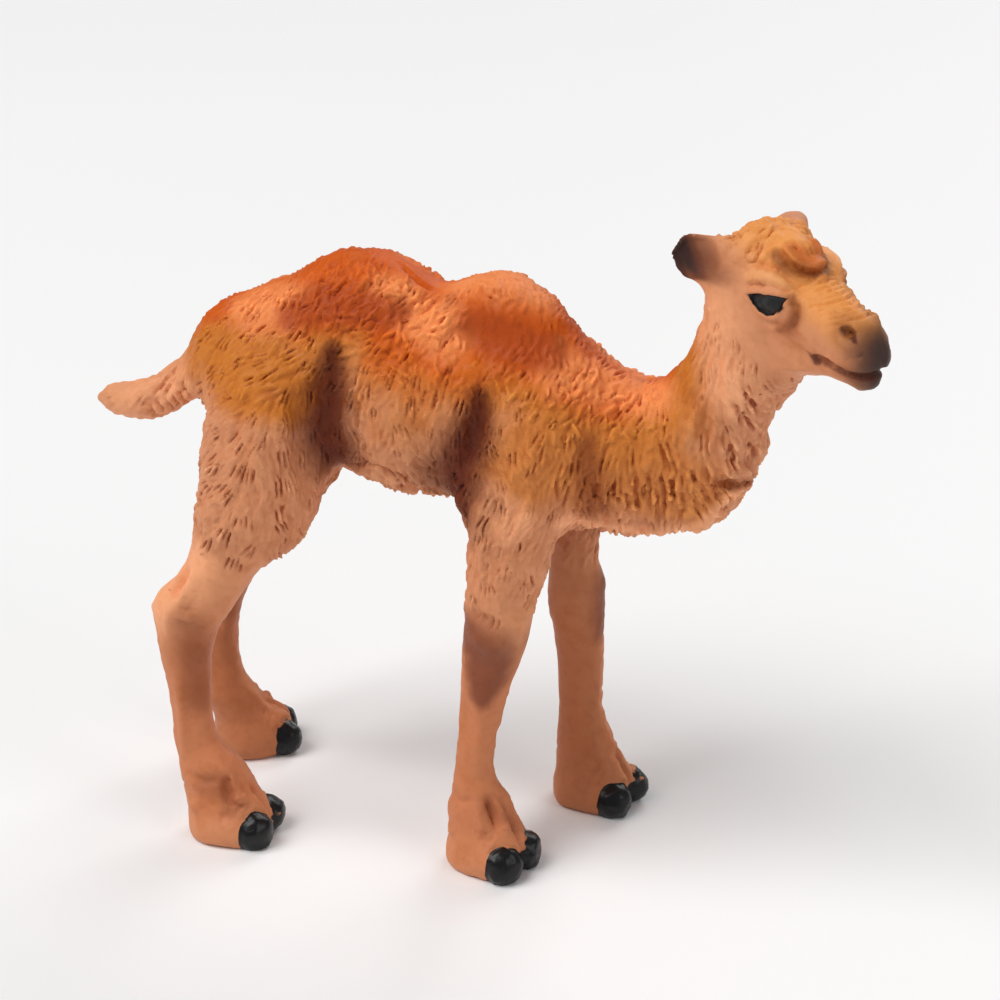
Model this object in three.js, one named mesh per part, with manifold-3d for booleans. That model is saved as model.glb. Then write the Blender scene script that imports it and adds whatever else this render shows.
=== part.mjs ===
// A toy figurine of a Bactrian camel calf, moulded in one piece of solid soft plastic. It stands on its four
// feet in mid-stride and turns its head to its right.
//
// Millimetres. +X is the way the calf walks, +Y its left side, +Z up. The origin is on the ground, in the
// middle of the figure's box. The calf is one swelling form, so it is described as a field: a function that
// is negative inside the figure, positive outside, and about the distance to its skin. Limbs, trunk and head
// are sums of such fields that melt into each other, and the skin where the whole field is zero is meshed.
import * as THREE from "three";
import { mergeVertices } from "three/addons/utils/BufferGeometryUtils.js";
import Module from "manifold-3d";

// Driving sizes
const TRUNK_HEIGHT = 53; // the ground to the middle of the barrel
const TRUNK_DEPTH = 22; // belly to back, between the humps
const TRUNK_FLATNESS = 0.92; // its width as a share of its depth
const HEAD_AT = [28.9, -2.9, 69.0]; // the middle of the skull
const HEAD_TURN = [-40, -4, 4]; // degrees: to the calf's left, chin up, left ear up
const HEAD_SCALE = 0.94; // the head as drawn below, against an adult's proportions
const TRACK = 19.5; // from the middle of a right foot to the middle of a left one
const HEM_LOCKS = 6; // gaps between the locks along one side of the bib's hem

const { min, max, abs, hypot, sin, cos, sqrt, PI } = Math;
const radians = (degrees) => (degrees * PI) / 180;
const clamp = (v, low, high) => min(max(v, low), high);
const mix = (a, b, t) => a + (b - a) * t;

// Joins two fields with a fillet about k wide.
const melt = (a, b, k) => {
  const h = max(k - abs(a - b), 0);
  return min(a, b) - (h * h) / (4 * k);
};

// Cuts field b out of field a, with a rounded rim.
const carve = (a, b, k) => -melt(-a, b, k);

// A point of a smooth curve through the stations, each a row of numbers, at u from 0 to 1.
function along(stations, u) {
  const last = stations.length - 1;
  const i = min(Math.floor(u * last), last - 1);
  const t = u * last - i;
  const [a, b, c, d] = [i - 1, i, i + 1, i + 2].map((n) => stations[clamp(n, 0, last)]);
  return b.map((_, n) => {
    const slopeIn = (c[n] - a[n]) / 2;
    const slopeOut = (d[n] - b[n]) / 2;
    const rise = c[n] - b[n];
    const bend = 3 * rise - 2 * slopeIn - slopeOut;
    return b[n] + t * (slopeIn + t * (bend + t * (slopeIn + slopeOut - 2 * rise)));
  });
}

// A limb: a round rod that swells and thins, through stations of [x, y, z, radius]. Its width along Y is
// flatness times its depth.
function limb(stations, flatness = 1, spansEach = 4) {
  const spans = (stations.length - 1) * spansEach;
  const balls = Array.from({ length: spans + 1 }, (_, n) => along(stations, n / spans));
  const pieces = balls.slice(1).map((b, n) => {
    const a = balls[n];
    const d = [b[0] - a[0], (b[1] - a[1]) / flatness, b[2] - a[2]];
    return { a, d, grow: b[3] - a[3], square: d[0] ** 2 + d[1] ** 2 + d[2] ** 2 };
  });
  return (x, y, z) => {
    let nearest = Infinity;
    for (const { a, d, grow, square } of pieces) {
      const px = x - a[0];
      const py = (y - a[1]) / flatness;
      const pz = z - a[2];
      const t = clamp((px * d[0] + py * d[1] + pz * d[2]) / square, 0, 1);
      const gap = sqrt((px - t * d[0]) ** 2 + (py - t * d[1]) ** 2 + (pz - t * d[2]) ** 2);
      nearest = min(nearest, gap - a[3] - t * grow);
    }
    return nearest * min(flatness, 1);
  };
}

// An egg with its three half-sizes, leaning nose-up by a tilt in degrees.
function egg([cx, cy, cz], [rx, ry, rz], tilt = 0) {
  const c = cos(radians(tilt));
  const s = sin(radians(tilt));
  const least = min(rx, ry, rz);
  return (x, y, z) => {
    const px = (x - cx) * c + (z - cz) * s;
    const pz = (z - cz) * c - (x - cx) * s;
    return (hypot(px / rx, (y - cy) / ry, pz / rz) - 1) * least;
  };
}

const mirrored = (field) => (x, y, z) => field(x, abs(y), z);

// A field in its own turned and scaled frame, with its own origin, seen from the figure's frame.
function placed(field, [ox, oy, oz], [turn, lift, roll], scale = 1) {
  const spin = new THREE.Matrix4().makeRotationFromEuler(
    new THREE.Euler(radians(roll), -radians(lift), radians(turn), "ZYX"),
  );
  const m = spin.elements;
  return (x, y, z) => {
    const [px, py, pz] = [x - ox, y - oy, z - oz].map((v) => v / scale);
    return (
      scale *
      field(
        m[0] * px + m[1] * py + m[2] * pz,
        m[4] * px + m[5] * py + m[6] * pz,
        m[8] * px + m[9] * py + m[10] * pz,
      )
    );
  };
}

// The trunk, from the rump to the breast, with the two humps standing on it.
function trunk() {
  const r = TRUNK_DEPTH / 2;
  const barrel = limb(
    [
      [-27.0, 0, TRUNK_HEIGHT + 1.2, r - 3.4],
      [-18.5, 0, TRUNK_HEIGHT + 1.9, r - 2.1],
      [-9.5, 0, TRUNK_HEIGHT - 0.2, r - 0.1],
      [1.0, 0, TRUNK_HEIGHT - 0.5, r - 1.1],
      [8.0, 0, TRUNK_HEIGHT - 4.4, r - 2.4],
    ],
    TRUNK_FLATNESS,
  );
  const rearHump = egg([-14.9, 0, 60.0], [9.0, 6.6, 8.2], -2);
  const frontHump = egg([0.0, 0, 58.6], [7.5, 6.4, 8.1], -9);
  const croup = limb([
    [-14.0, 0, 60.0, 6.0],
    [-22.5, 0, 58.0, 5.8],
    [-29.0, 0, 54.9, 4.5],
  ]);
  return (x, y, z) => {
    const humps = min(rearHump(x, y, z), frontHump(x, y, z), croup(x, y, z));
    return melt(barrel(x, y, z), humps, 4);
  };
}

// Shallow dips that the trunk has on both sides: before the thigh, behind the elbow, and below the front
// hump's crest.
function dips() {
  const flank = limb([
    [-14.9, 9.9, 61.2, 2.6],
    [-15.7, 11.8, 54.5, 3.6],
    [-17.2, 11.6, 48.0, 3.2],
  ]);
  const behindElbow = limb([
    [2.2, 10.8, 57.6, 2.4],
    [0.4, 12.3, 52.5, 3.0],
    [-1.6, 12.6, 47.0, 2.6],
  ]);
  const belowCrest = limb([
    [-1.5, 7.2, 62.4, 2.4],
    [5.5, 7.3, 61.4, 2.4],
  ]);
  return mirrored((x, y, z) => min(flank(x, y, z), behindElbow(x, y, z), belowCrest(x, y, z)));
}

// The neck: forward and down from the withers, then steeply up to the skull, with the shaggy bib below it.
function neck() {
  const column = limb(
    [
      [7.0, 0, 48.9, 7.7],
      [14.5, -0.1, 48.3, 7.1],
      [20.8, -0.7, 50.6, 6.9],
      [24.7, -1.7, 56.8, 5.4],
      [27.0, -2.3, 62.5, 5.2],
      [28.2, -2.7, 68.0, 5.2],
    ],
    0.86,
  );
  const bib = limb(
    [
      [10.5, 0, 45.4, 4.4],
      [16.5, 0, 43.6, 4.2],
      [21.6, -0.4, 44.8, 4.2],
      [24.2, -1.0, 49.0, 3.7],
    ],
    0.9,
  );
  return (x, y, z) => melt(column(x, y, z), bib(x, y, z), 2);
}

// The hem of the bib: locks of long hair that hang in a scalloped row below it, on both its sides.
function hem() {
  const locks = [];
  for (let n = 0; n <= HEM_LOCKS; n++) {
    const u = n / HEM_LOCKS;
    const swing = radians(mix(-96, -8, u ** 1.15));
    const x = 19.0 + 8.4 * cos(swing) - 7.0 * (1 - u) ** 2;
    const z = 46.6 + 6.4 * sin(swing) + 5 * u * u + 2.2 * (1 - u) ** 2;
    const reach = n % 2 ? 1.3 : 2.0;
    const side = 1.5 + 1.2 * sin(PI * u);
    const root = [x, side, z, 2.0];
    const tip = [x + 0.55 * reach * cos(swing) - 0.4, side - 0.3, z + 0.8 * reach * sin(swing) - 0.5, 1.1];
    locks.push(limb([root, tip], 1, 1));
  }
  return mirrored((x, y, z) => min(...locks.map((lock) => lock(x, y, z))));
}

// The tail: a thick strap that leaves the rump and sweeps back, with a blunt point.
function tail() {
  return limb(
    [
      [-29.5, 0, 56.6, 4.3],
      [-33.0, 0, 54.7, 2.7],
      [-36.8, 0, 51.1, 2.5],
      [-41.0, 0, 48.5, 2.5],
      [-45.57, 0, 48.4, 1.8],
    ],
    0.8,
  );
}

// A foot in its own frame: +X to the toes, the ground at 0. A broad pad, an instep that slopes down from the
// shank, and two toes side by side that end in big nails. The instep starts further back under a shank that
// stands over the heel.
function foot(back) {
  const pad = egg([0.2, 0, 1.3], [4.2, 4.5, 3.9]);
  const instep = limb([
    [0.2 - back, 0, 8.2 - 0.4 * back, 2.4 - 0.1 * back],
    [1.6 - 0.5 * back, 0, 5.6 - 0.5 * back, 2.6],
    [3.2, 0, 2.9, 2.9],
  ]);
  const toe = egg([3.0, 2.1, 1.9], [2.9, 2.1, 2.7], -12);
  const nail = egg([4.7, 2.15, 1.7], [2.2, 2.05, 2.2], -10);
  return mirrored((x, y, z) => {
    const fleshy = melt(melt(pad(x, y, z), instep(x, y, z), 1.5), toe(x, y, z), 1.2);
    return melt(fleshy, nail(x, y, z), 0.3);
  });
}

// A leg: a rod through stations from the hip or shoulder down to the fetlock, with a knob where the hock or
// the elbow stands out behind it, and a foot turned out or in by footTurn.
function leg(stations, footAt, footTurn, knob, instepBack = 0) {
  const rod = limb(stations, 0.92);
  const sole = placed(foot(instepBack), [...footAt, 0], [footTurn, 0, 0]);
  return (x, y, z) => {
    const shank = melt(rod(x, y, z), knob(x, y, z), 1.6);
    return melt(shank, sole(x, y, z), 2.2);
  };
}

function rightHindLeg() {
  const y = -TRACK / 2;
  const point = egg([-35.2, y + 0.4, 28.0], [2.7, 2.4, 2.9], -20);
  return leg(
    [
      [-23.6, y + 4.4, 52.6, 7.0],
      [-24.2, y + 2.6, 47.6, 7.0],
      [-25.4, y + 1.5, 41.5, 6.5],
      [-28.3, y + 0.9, 36.2, 4.4],
      [-31.4, y + 0.6, 30.0, 3.6],
      [-34.0, y + 0.3, 25.2, 3.5],
      [-33.9, y + 0.1, 18.0, 2.6],
      [-33.4, y - 0.2, 11.0, 2.6],
      [-32.2, y - 0.6, 6.5, 3.1],
    ],
    [-30.4, y - 0.8],
    0,
    point,
  );
}

function leftHindLeg() {
  const y = TRACK / 2;
  const point = egg([-36.2, y - 0.6, 28.4], [2.9, 2.4, 3.4], -20);
  return leg(
    [
      [-23.6, y - 4.4, 52.6, 7.0],
      [-25.2, y - 2.6, 47.6, 6.8],
      [-26.2, y - 1.5, 42.0, 5.8],
      [-29.0, y - 1.0, 35.4, 4.5],
      [-33.6, y - 0.8, 29.6, 3.8],
      [-36.0, y - 0.8, 24.6, 3.5],
      [-37.4, y - 0.9, 17.5, 2.4],
      [-37.5, y - 1.0, 11.0, 2.4],
      [-36.4, y - 1.2, 6.4, 2.6],
    ],
    [-34.9, y - 1.3],
    25,
    point,
    1.8,
  );
}

function rightForeleg() {
  const y = -TRACK / 2 + 1.2;
  const elbow = egg([0.4, y + 0.6, 46.3], [3.2, 3.0, 3.8]);
  return leg(
    [
      [4.6, y + 4.2, 51.4, 6.8],
      [3.8, y + 2.2, 46.0, 5.8],
      [3.2, y + 1.0, 40.0, 4.7],
      [2.3, y + 0.6, 33.5, 3.9],
      [1.9, y + 0.4, 29.2, 3.8],
      [0.8, y + 0.3, 23.5, 3.0],
      [-0.2, y + 0.1, 16.5, 2.4],
      [-0.8, y - 0.1, 10.5, 2.5],
      [-0.8, y - 0.1, 6.4, 3.0],
    ],
    [0.1, y - 0.1],
    -21,
    elbow,
  );
}

function leftForeleg() {
  const y = TRACK / 2 - 1.4;
  const elbow = egg([3.4, y - 0.6, 45.0], [3.4, 3.0, 4.0]);
  return leg(
    [
      [6.8, y - 4.2, 50.4, 6.2],
      [7.2, y - 2.2, 45.0, 5.2],
      [6.9, y - 1.2, 37.0, 3.2],
      [6.8, y - 0.8, 31.0, 2.9],
      [7.0, y - 0.6, 26.5, 3.5],
      [7.3, y - 0.4, 20.5, 2.9],
      [7.5, y - 0.2, 14.0, 2.7],
      [7.5, y, 9.5, 2.7],
      [7.6, y - 0.2, 6.0, 3.0],
    ],
    [8.5, y - 0.6],
    -14,
    elbow,
  );
}

// The head in its own frame: +X to the nose, +Y to the calf's left, +Z to the crown, the skull's middle at 0.
function head() {
  const skull = egg([-0.2, 0, 0.4], [5.6, 4.9, 5.0]);
  const face = limb(
    [
      [2.0, 0, 0.9, 4.6],
      [6.5, 0, 0.2, 4.5],
      [11.0, 0, -0.5, 3.7],
      [15.0, 0, -1.5, 2.8],
    ],
    0.94,
  );
  const jaw = limb(
    [
      [0.5, 0, -4.0, 3.4],
      [5.5, 0, -4.6, 3.3],
      [11.0, 0, -4.5, 2.0],
      [16.3, 0, -5.0, 1.4],
    ],
    1.05,
  );
  const upperLip = egg([16.2, 0, -2.4], [2.0, 2.5, 2.1]);
  const gullet = limb([
    [7.0, 0, -4.6, 2.4],
    [2.8, 0, -6.9, 3.1],
    [-1.6, 0, -10.6, 3.8],
  ]);
  const noseBulb = egg([14.8, 0, 0.6], [2.3, 2.3, 1.8], -20);
  const mouth = limb([
    [10.2, 3.2, -3.5, 0.6],
    [13.6, 2.8, -4.1, 0.5],
    [18.4, 1.4, -4.1, 0.6],
  ]);
  const brow = egg([4.3, 3.5, 3.1], [3.0, 1.7, 1.5], -12);
  const eye = egg([4.8, 3.3, 1.2], [1.9, 1.5, 1.5]);
  const crown = egg([0.6, 0, 5.2], [3.9, 3.6, 2.2], -8);
  const forelock = egg([4.6, -0.3, 5.4], [2.6, 2.8, 2.1], -30);
  const rightEar = placed(ear(-1), [-1.0, -3.7, 3.3], [-140, 12, 0]);
  const leftEar = placed(ear(1), [-1.1, 3.7, 3.7], [143, 0, 55]);
  return (x, y, z) => {
    const side = abs(y);
    let skin = melt(skull(x, y, z), face(x, y, z), 2.5);
    skin = melt(skin, min(upperLip(x, y, z), noseBulb(x, y, z)), 1.0);
    skin = melt(skin, min(jaw(x, y, z), gullet(x, y, z)), 1.2);
    skin = melt(skin, brow(x, side, z), 1.0);
    skin = melt(skin, crown(x, y, z), 1.2);
    skin = carve(skin, mouth(x, side, z), 0.4);
    skin = melt(skin, eye(x, side, z), 0.2);
    skin = melt(skin, forelock(x, y, z), 0.5);
    return melt(skin, min(rightEar(x, y, z), leftEar(x, y, z)), 1.2);
  };
}

// An ear in its own frame: it grows along +X from its root. Its hollow side is +Y on the right ear (side -1)
// and -Y on the left one.
function ear(side) {
  const shell = egg([4.2, 0, -0.2], [3.5, 1.3, 3.1]);
  const root = limb([
    [-0.6, 0, 0.2, 2.4],
    [2.6, 0, 0.0, 2.0],
  ]);
  const hollow = egg([4.4, -side * 1.9, -0.1], [2.6, 1.5, 2.2]);
  return (x, y, z) => carve(melt(shell(x, y, z), root(x, y, z), 1.4), hollow(x, y, z), 0.5);
}

// The whole calf.
function calf() {
  const body = trunk();
  const throat = neck();
  const skull = placed(head(), HEAD_AT, HEAD_TURN, HEAD_SCALE);
  const fringe = hem();
  const strap = tail();
  const dip = dips();
  const legs = [rightHindLeg(), leftHindLeg(), rightForeleg(), leftForeleg()];
  return (x, y, z) => {
    let skin = melt(body(x, y, z), throat(x, y, z), 5);
    skin = melt(skin, skull(x, y, z), 2.5);
    skin = melt(skin, strap(x, y, z), 1.4);
    skin = melt(skin, fringe(x, y, z), 0.6);
    const [rightHind, leftHind, rightFore, leftFore] = legs.map((one) => one(x, y, z));
    skin = melt(skin, min(rightHind, leftHind, rightFore, leftFore), 1.8);
    return carve(skin, dip(x, y, z), 2);
  };
}

// Grid lines from low to high, each gap as wide as sizeAt says there.
function gridLines(low, high, sizeAt) {
  const lines = [low];
  while (lines.at(-1) < high) lines.push(lines.at(-1) + sizeAt(lines.at(-1)));
  return lines;
}

// A cell's corners are numbered by three bits, one for each axis. An edge is its low corner and its axis.
const CORNERS = [0, 1, 2, 3, 4, 5, 6, 7].map((n) => [n & 1, (n >> 1) & 1, n >> 2]);
const EDGES = CORNERS.flatMap((_, low) =>
  [0, 1, 2].filter((axis) => !(low & (1 << axis))).map((axis) => [low, axis]),
);
const edgeNumber = (low, axis) => EDGES.findIndex((edge) => edge[0] === low && edge[1] === axis);

// Which edges meet at each corner of each of a cell's six faces.
const FACE_CORNERS = [0, 1, 2].flatMap((across) =>
  [0, 1].map((side) =>
    CORNERS.flatMap((bits, corner) => {
      if (bits[across] !== side) return [];
      const others = [0, 1, 2].filter((axis) => axis !== across);
      return [{ corner, edges: others.map((axis) => edgeNumber(corner & ~(1 << axis), axis)) }];
    }),
  ),
);

// The skin may pass through a cell as several separate sheets. This names a sheet for each edge that it cuts.
function sheets(inside) {
  const sheet = EDGES.map(([low, axis], n) => (inside[low] !== inside[low | (1 << axis)] ? n : -1));
  const join = (a, b) => {
    const [from, to] = [sheet[a], sheet[b]];
    sheet.forEach((name, n) => name === from && (sheet[n] = to));
  };
  for (const face of FACE_CORNERS) {
    const cut = [...new Set(face.flatMap(({ edges }) => edges))].filter((n) => sheet[n] >= 0);
    if (cut.length === 2) join(...cut);
    if (cut.length === 4) face.filter(({ corner }) => inside[corner]).forEach(({ edges }) => join(...edges));
  }
  return sheet;
}

// Meshes the field's skin: one vertex for each sheet in each grid cell, and one square across each grid edge
// that the skin cuts.
function meshSkin(field, xs, ys, zs) {
  const [nx, ny, nz] = [xs.length, ys.length, zs.length];
  const at = (i, j, k) => (k * ny + j) * nx + i;
  const value = new Float64Array(nx * ny * nz);
  zs.forEach((z, k) => ys.forEach((y, j) => xs.forEach((x, i) => (value[at(i, j, k)] = field(x, y, z)))));

  const vertexOf = new Map();
  const points = [];
  for (let k = 0; k < nz - 1; k++)
    for (let j = 0; j < ny - 1; j++)
      for (let i = 0; i < nx - 1; i++) {
        const corner = CORNERS.map(([a, b, c]) => value[at(i + a, j + b, k + c)]);
        const inside = corner.map((v) => v < 0);
        if (inside.every((v) => v === inside[0])) continue;
        const low = [xs[i], ys[j], zs[k]];
        const high = [xs[i + 1], ys[j + 1], zs[k + 1]];
        const sheet = sheets(inside);
        for (const name of new Set(sheet.filter((n) => n >= 0))) {
          const cuts = EDGES.filter((_, n) => sheet[n] === name).map(([a, axis]) => {
            const b = a | (1 << axis);
            const t = corner[a] / (corner[a] - corner[b]);
            return low.map((v, n) => mix(v, high[n], n === axis ? t : CORNERS[a][n]));
          });
          const middle = low.map((_, n) => cuts.reduce((sum, cut) => sum + cut[n], 0) / cuts.length);
          sheet.forEach((n, edge) => n === name && vertexOf.set(at(i, j, k) * 12 + edge, points.length));
          points.push(onSkin(field, middle, low, high));
        }
      }

  const faces = [];
  const steps = [1, nx, nx * ny];
  for (let k = 1; k < nz - 1; k++)
    for (let j = 1; j < ny - 1; j++)
      for (let i = 1; i < nx - 1; i++) {
        const here = at(i, j, k);
        for (let axis = 0; axis < 3; axis++) {
          const inside = value[here] < 0;
          if (inside === value[here + steps[axis]] < 0) continue;
          const [u, v] = [(axis + 1) % 3, (axis + 2) % 3];
          const ring = [[1, 1], [0, 1], [0, 0], [1, 0]].map(([du, dv]) => {
            const cell = here - du * steps[u] - dv * steps[v];
            return vertexOf.get(cell * 12 + edgeNumber((du << u) | (dv << v), axis));
          });
          faces.push(...squareFaces(points, inside ? ring : ring.reverse()));
        }
      }
  return { points, faces };
}

// Moves a point along the field's slope towards the skin, without leaving its cell.
function onSkin(field, start, low, high) {
  const nudge = 0.02;
  const margin = 0.06;
  let p = start;
  for (let turn = 0; turn < 3; turn++) {
    const here = field(...p);
    const slope = p.map((_, n) => {
      const q = p.slice();
      q[n] += nudge;
      return (field(...q) - here) / nudge;
    });
    const steepness = max(hypot(...slope) ** 2, 0.25);
    p = p.map((c, n) => clamp(c - (0.8 * here * slope[n]) / steepness, low[n] + margin, high[n] - margin));
  }
  return p;
}

// Two triangles across a ring of four vertices, split along its shorter diagonal.
function squareFaces(points, [a, b, c, d]) {
  const far = (m, n) => hypot(...points[m].map((v, i) => v - points[n][i]));
  if (far(a, c) < far(b, d)) return [a, b, c, a, c, d];
  return [a, b, d, b, c, d];
}

const wasm = await Module();
wasm.setup();

function solidFrom(geometry) {
  const bare = geometry.clone();
  bare.deleteAttribute("normal");
  bare.deleteAttribute("uv");
  const merged = mergeVertices(bare, 1e-4);
  return new wasm.Manifold(
    new wasm.Mesh({
      numProp: 3,
      vertProperties: merged.attributes.position.array,
      triVerts: new Uint32Array(merged.index.array),
    }),
  );
}

function geometryFrom(solid) {
  const { vertProperties, triVerts } = solid.getMesh();
  const geometry = new THREE.BufferGeometry();
  geometry.setAttribute("position", new THREE.BufferAttribute(vertProperties, 3));
  geometry.setIndex(new THREE.BufferAttribute(triVerts, 1));
  geometry.computeVertexNormals();
  return geometry;
}

// Fine cells where the head, the bib and the feet are, and wider ones on the plain stretches of leg and
// belly.
const zCell = (z) => (z < 8 ? 1.35 : z < 36 ? 2.4 : z < 47 ? 1.6 : z < 57 ? 2.0 : 1.3);
const xs = gridLines(-51, 48, (x) => (x > 19 ? 1.2 : 1.9));
const ys = gridLines(-17, 17, (y) => (abs(y) < 8 ? 1.5 : 1.85));
const zs = gridLines(-4, 82, zCell);

const { points, faces } = meshSkin(calf(), xs, ys, zs);
const skin = new THREE.BufferGeometry();
skin.setAttribute("position", new THREE.Float32BufferAttribute(points.flat(), 3));
skin.setIndex(faces);
const ground = new THREE.BoxGeometry(160, 80, 20).translate(0, 0, -10);
const figure = geometryFrom(solidFrom(skin).subtract(solidFrom(ground)));

// The origin goes to the middle of the footprint's box, at the height of the ground.
figure.computeBoundingBox();
const middle = figure.boundingBox.getCenter(new THREE.Vector3());
figure.translate(-middle.x, -middle.y, 0);

const paintedPlastic = new THREE.MeshStandardMaterial({ color: 0xc9804f, roughness: 0.55, metalness: 0 });
const mesh = new THREE.Mesh(figure, paintedPlastic);
mesh.name = "camel_calf";

const camelCalf = new THREE.Group();
camelCalf.add(mesh);

export default camelCalf;
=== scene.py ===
# %% [markdown]
# # A moulded and painted camel calf
#
# The figurine is about as long as a finger. A real one starts as a wax or clay original: a sculptor blocks
# out the animal, presses eyes, nostrils and nails into it, and then cuts the coat with a small loop, stroke
# by stroke. The original is cast in soft plastic and painted: a body colour, tints blown over the back, a
# dark wash that settles in the cuts, and gloss on the eyes and the nails. This lesson keeps that order.
#
# The frame holds the plain solid, with the pose, the limbs and the main forms. One piece of mesh is made from
# a copy of it, because a coat in soft plastic has no edges where one piece could end and the next begin.

# %% Load the frame
import math

import bmesh
import bpy
import numpy as np
from mathutils import Matrix, Vector, kdtree


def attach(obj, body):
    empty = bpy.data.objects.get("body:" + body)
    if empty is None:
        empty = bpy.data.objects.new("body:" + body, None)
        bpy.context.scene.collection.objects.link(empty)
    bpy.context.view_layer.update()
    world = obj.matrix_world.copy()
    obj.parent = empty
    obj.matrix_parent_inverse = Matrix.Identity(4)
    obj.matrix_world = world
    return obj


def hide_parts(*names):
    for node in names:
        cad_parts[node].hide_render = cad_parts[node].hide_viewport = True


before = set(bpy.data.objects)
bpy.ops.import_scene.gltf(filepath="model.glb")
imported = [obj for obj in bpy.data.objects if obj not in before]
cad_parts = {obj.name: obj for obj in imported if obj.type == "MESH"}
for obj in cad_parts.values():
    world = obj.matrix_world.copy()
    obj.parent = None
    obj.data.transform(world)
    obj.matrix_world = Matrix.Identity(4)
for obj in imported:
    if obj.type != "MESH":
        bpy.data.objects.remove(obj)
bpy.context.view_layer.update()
MM = 0.001
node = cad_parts["camel_calf"]

# %% [markdown]
# ## Camera, floor and light
#
# The camera stands where the photographer stood: a little to the calf's right front, looking down at it. It
# aims at a point in the middle of the picture, and its distance sets how strongly the near legs outgrow the
# far ones. The figure is drawn about an origin under its own middle; the frame's origin is a little behind
# that, in the middle of the box.

# %% Camera
DRAWN_AT = np.array((2.385, 0.276, 0.0))  # mm: the drawing's origin in the frame
AIM_HEIGHT = 40.8 * MM
AZIMUTH = math.radians(15)
ELEVATION = math.radians(24)
DISTANCE = 260 * MM
SENSOR = 36.0
LENS = 85.1

aim = Vector((DRAWN_AT[0] * MM, DRAWN_AT[1] * MM, AIM_HEIGHT))
back = Vector(
    (
        math.sin(AZIMUTH) * math.cos(ELEVATION),
        -math.cos(AZIMUTH) * math.cos(ELEVATION),
        math.sin(ELEVATION),
    )
)
camera_data = bpy.data.cameras.new("camera")
camera_data.sensor_width = SENSOR
camera_data.lens = LENS
camera_data.clip_start = 0.01
camera = bpy.data.objects.new("camera", camera_data)
camera.location = aim + DISTANCE * back
camera.rotation_euler = back.to_track_quat("Z", "Y").to_euler()
bpy.context.scene.collection.objects.link(camera)
bpy.context.scene.camera = camera
print("camera at", [round(c, 3) for c in camera.location])

# %% [markdown]
# Small goods are photographed in a tent of white cloth. Three soft boxes stand in for it: a large one in
# front on the left, a weaker one behind and a weak one on the right. The world adds light from everywhere.
# The standard view transform keeps the paint's colours as they were picked.


# %% Lights
def area_light(name, at, size, power):
    """A square soft box that faces the figure: its place and size in metres and its power in watts."""
    data = bpy.data.lights.new(name, "AREA")
    data.energy = power
    data.size = size
    light = bpy.data.objects.new(name, data)
    light.location = at
    light.rotation_euler = (Vector(at) - aim).to_track_quat("Z", "Y").to_euler()
    bpy.context.scene.collection.objects.link(light)


area_light("key", (-1.05, -0.75, 1.85), 1.5, 38)
area_light("back", (0.5, 1.9, 1.5), 1.4, 18)
area_light("fill", (2.0, -0.7, 1.1), 1.2, 9)

world = bpy.data.worlds.new("studio")
world.use_nodes = True
world.node_tree.nodes["Background"].inputs["Color"].default_value = (1.0, 1.0, 1.0, 1.0)
world.node_tree.nodes["Background"].inputs["Strength"].default_value = 0.25
bpy.context.scene.world = world
bpy.context.scene.view_settings.view_transform = "Standard"
print(len(bpy.data.lights), "lights")

# %% [markdown]
# ## Writing shader maths as sums
#
# A material is a graph of nodes. Wires drawn one by one hide what the maths says, so a small class wraps a
# socket and lets ordinary operators add the Math nodes.


# %% Sockets as numbers
class Value:
    """A socket that carries a number. Operators on it add Math nodes."""

    def __init__(self, tree, socket):
        self.tree = tree
        self.socket = socket

    def maths(self, operation, *inputs, **settings):
        made = self.tree.node("ShaderNodeMath", {"operation": operation, **settings}, *inputs)
        return Value(self.tree, made.outputs[0])

    def __add__(self, other):
        return self.maths("ADD", self, other)

    def __sub__(self, other):
        return self.maths("SUBTRACT", self, other)

    def __rsub__(self, other):
        return self.maths("SUBTRACT", other, self)

    def __mul__(self, other):
        return self.maths("MULTIPLY", self, other)

    __radd__ = __add__
    __rmul__ = __mul__

    def clamped(self):
        return self.maths("MULTIPLY", self, 1.0, use_clamp=True)

    def step(self, low, high):
        """0 below low, 1 above high, and smooth between them."""
        made = self.tree.node(
            "ShaderNodeMapRange",
            {"interpolation_type": "SMOOTHSTEP"},
            Value=self,
            **{"From Min": low, "From Max": high},
        )
        return Value(self.tree, made.outputs[0])


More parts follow.
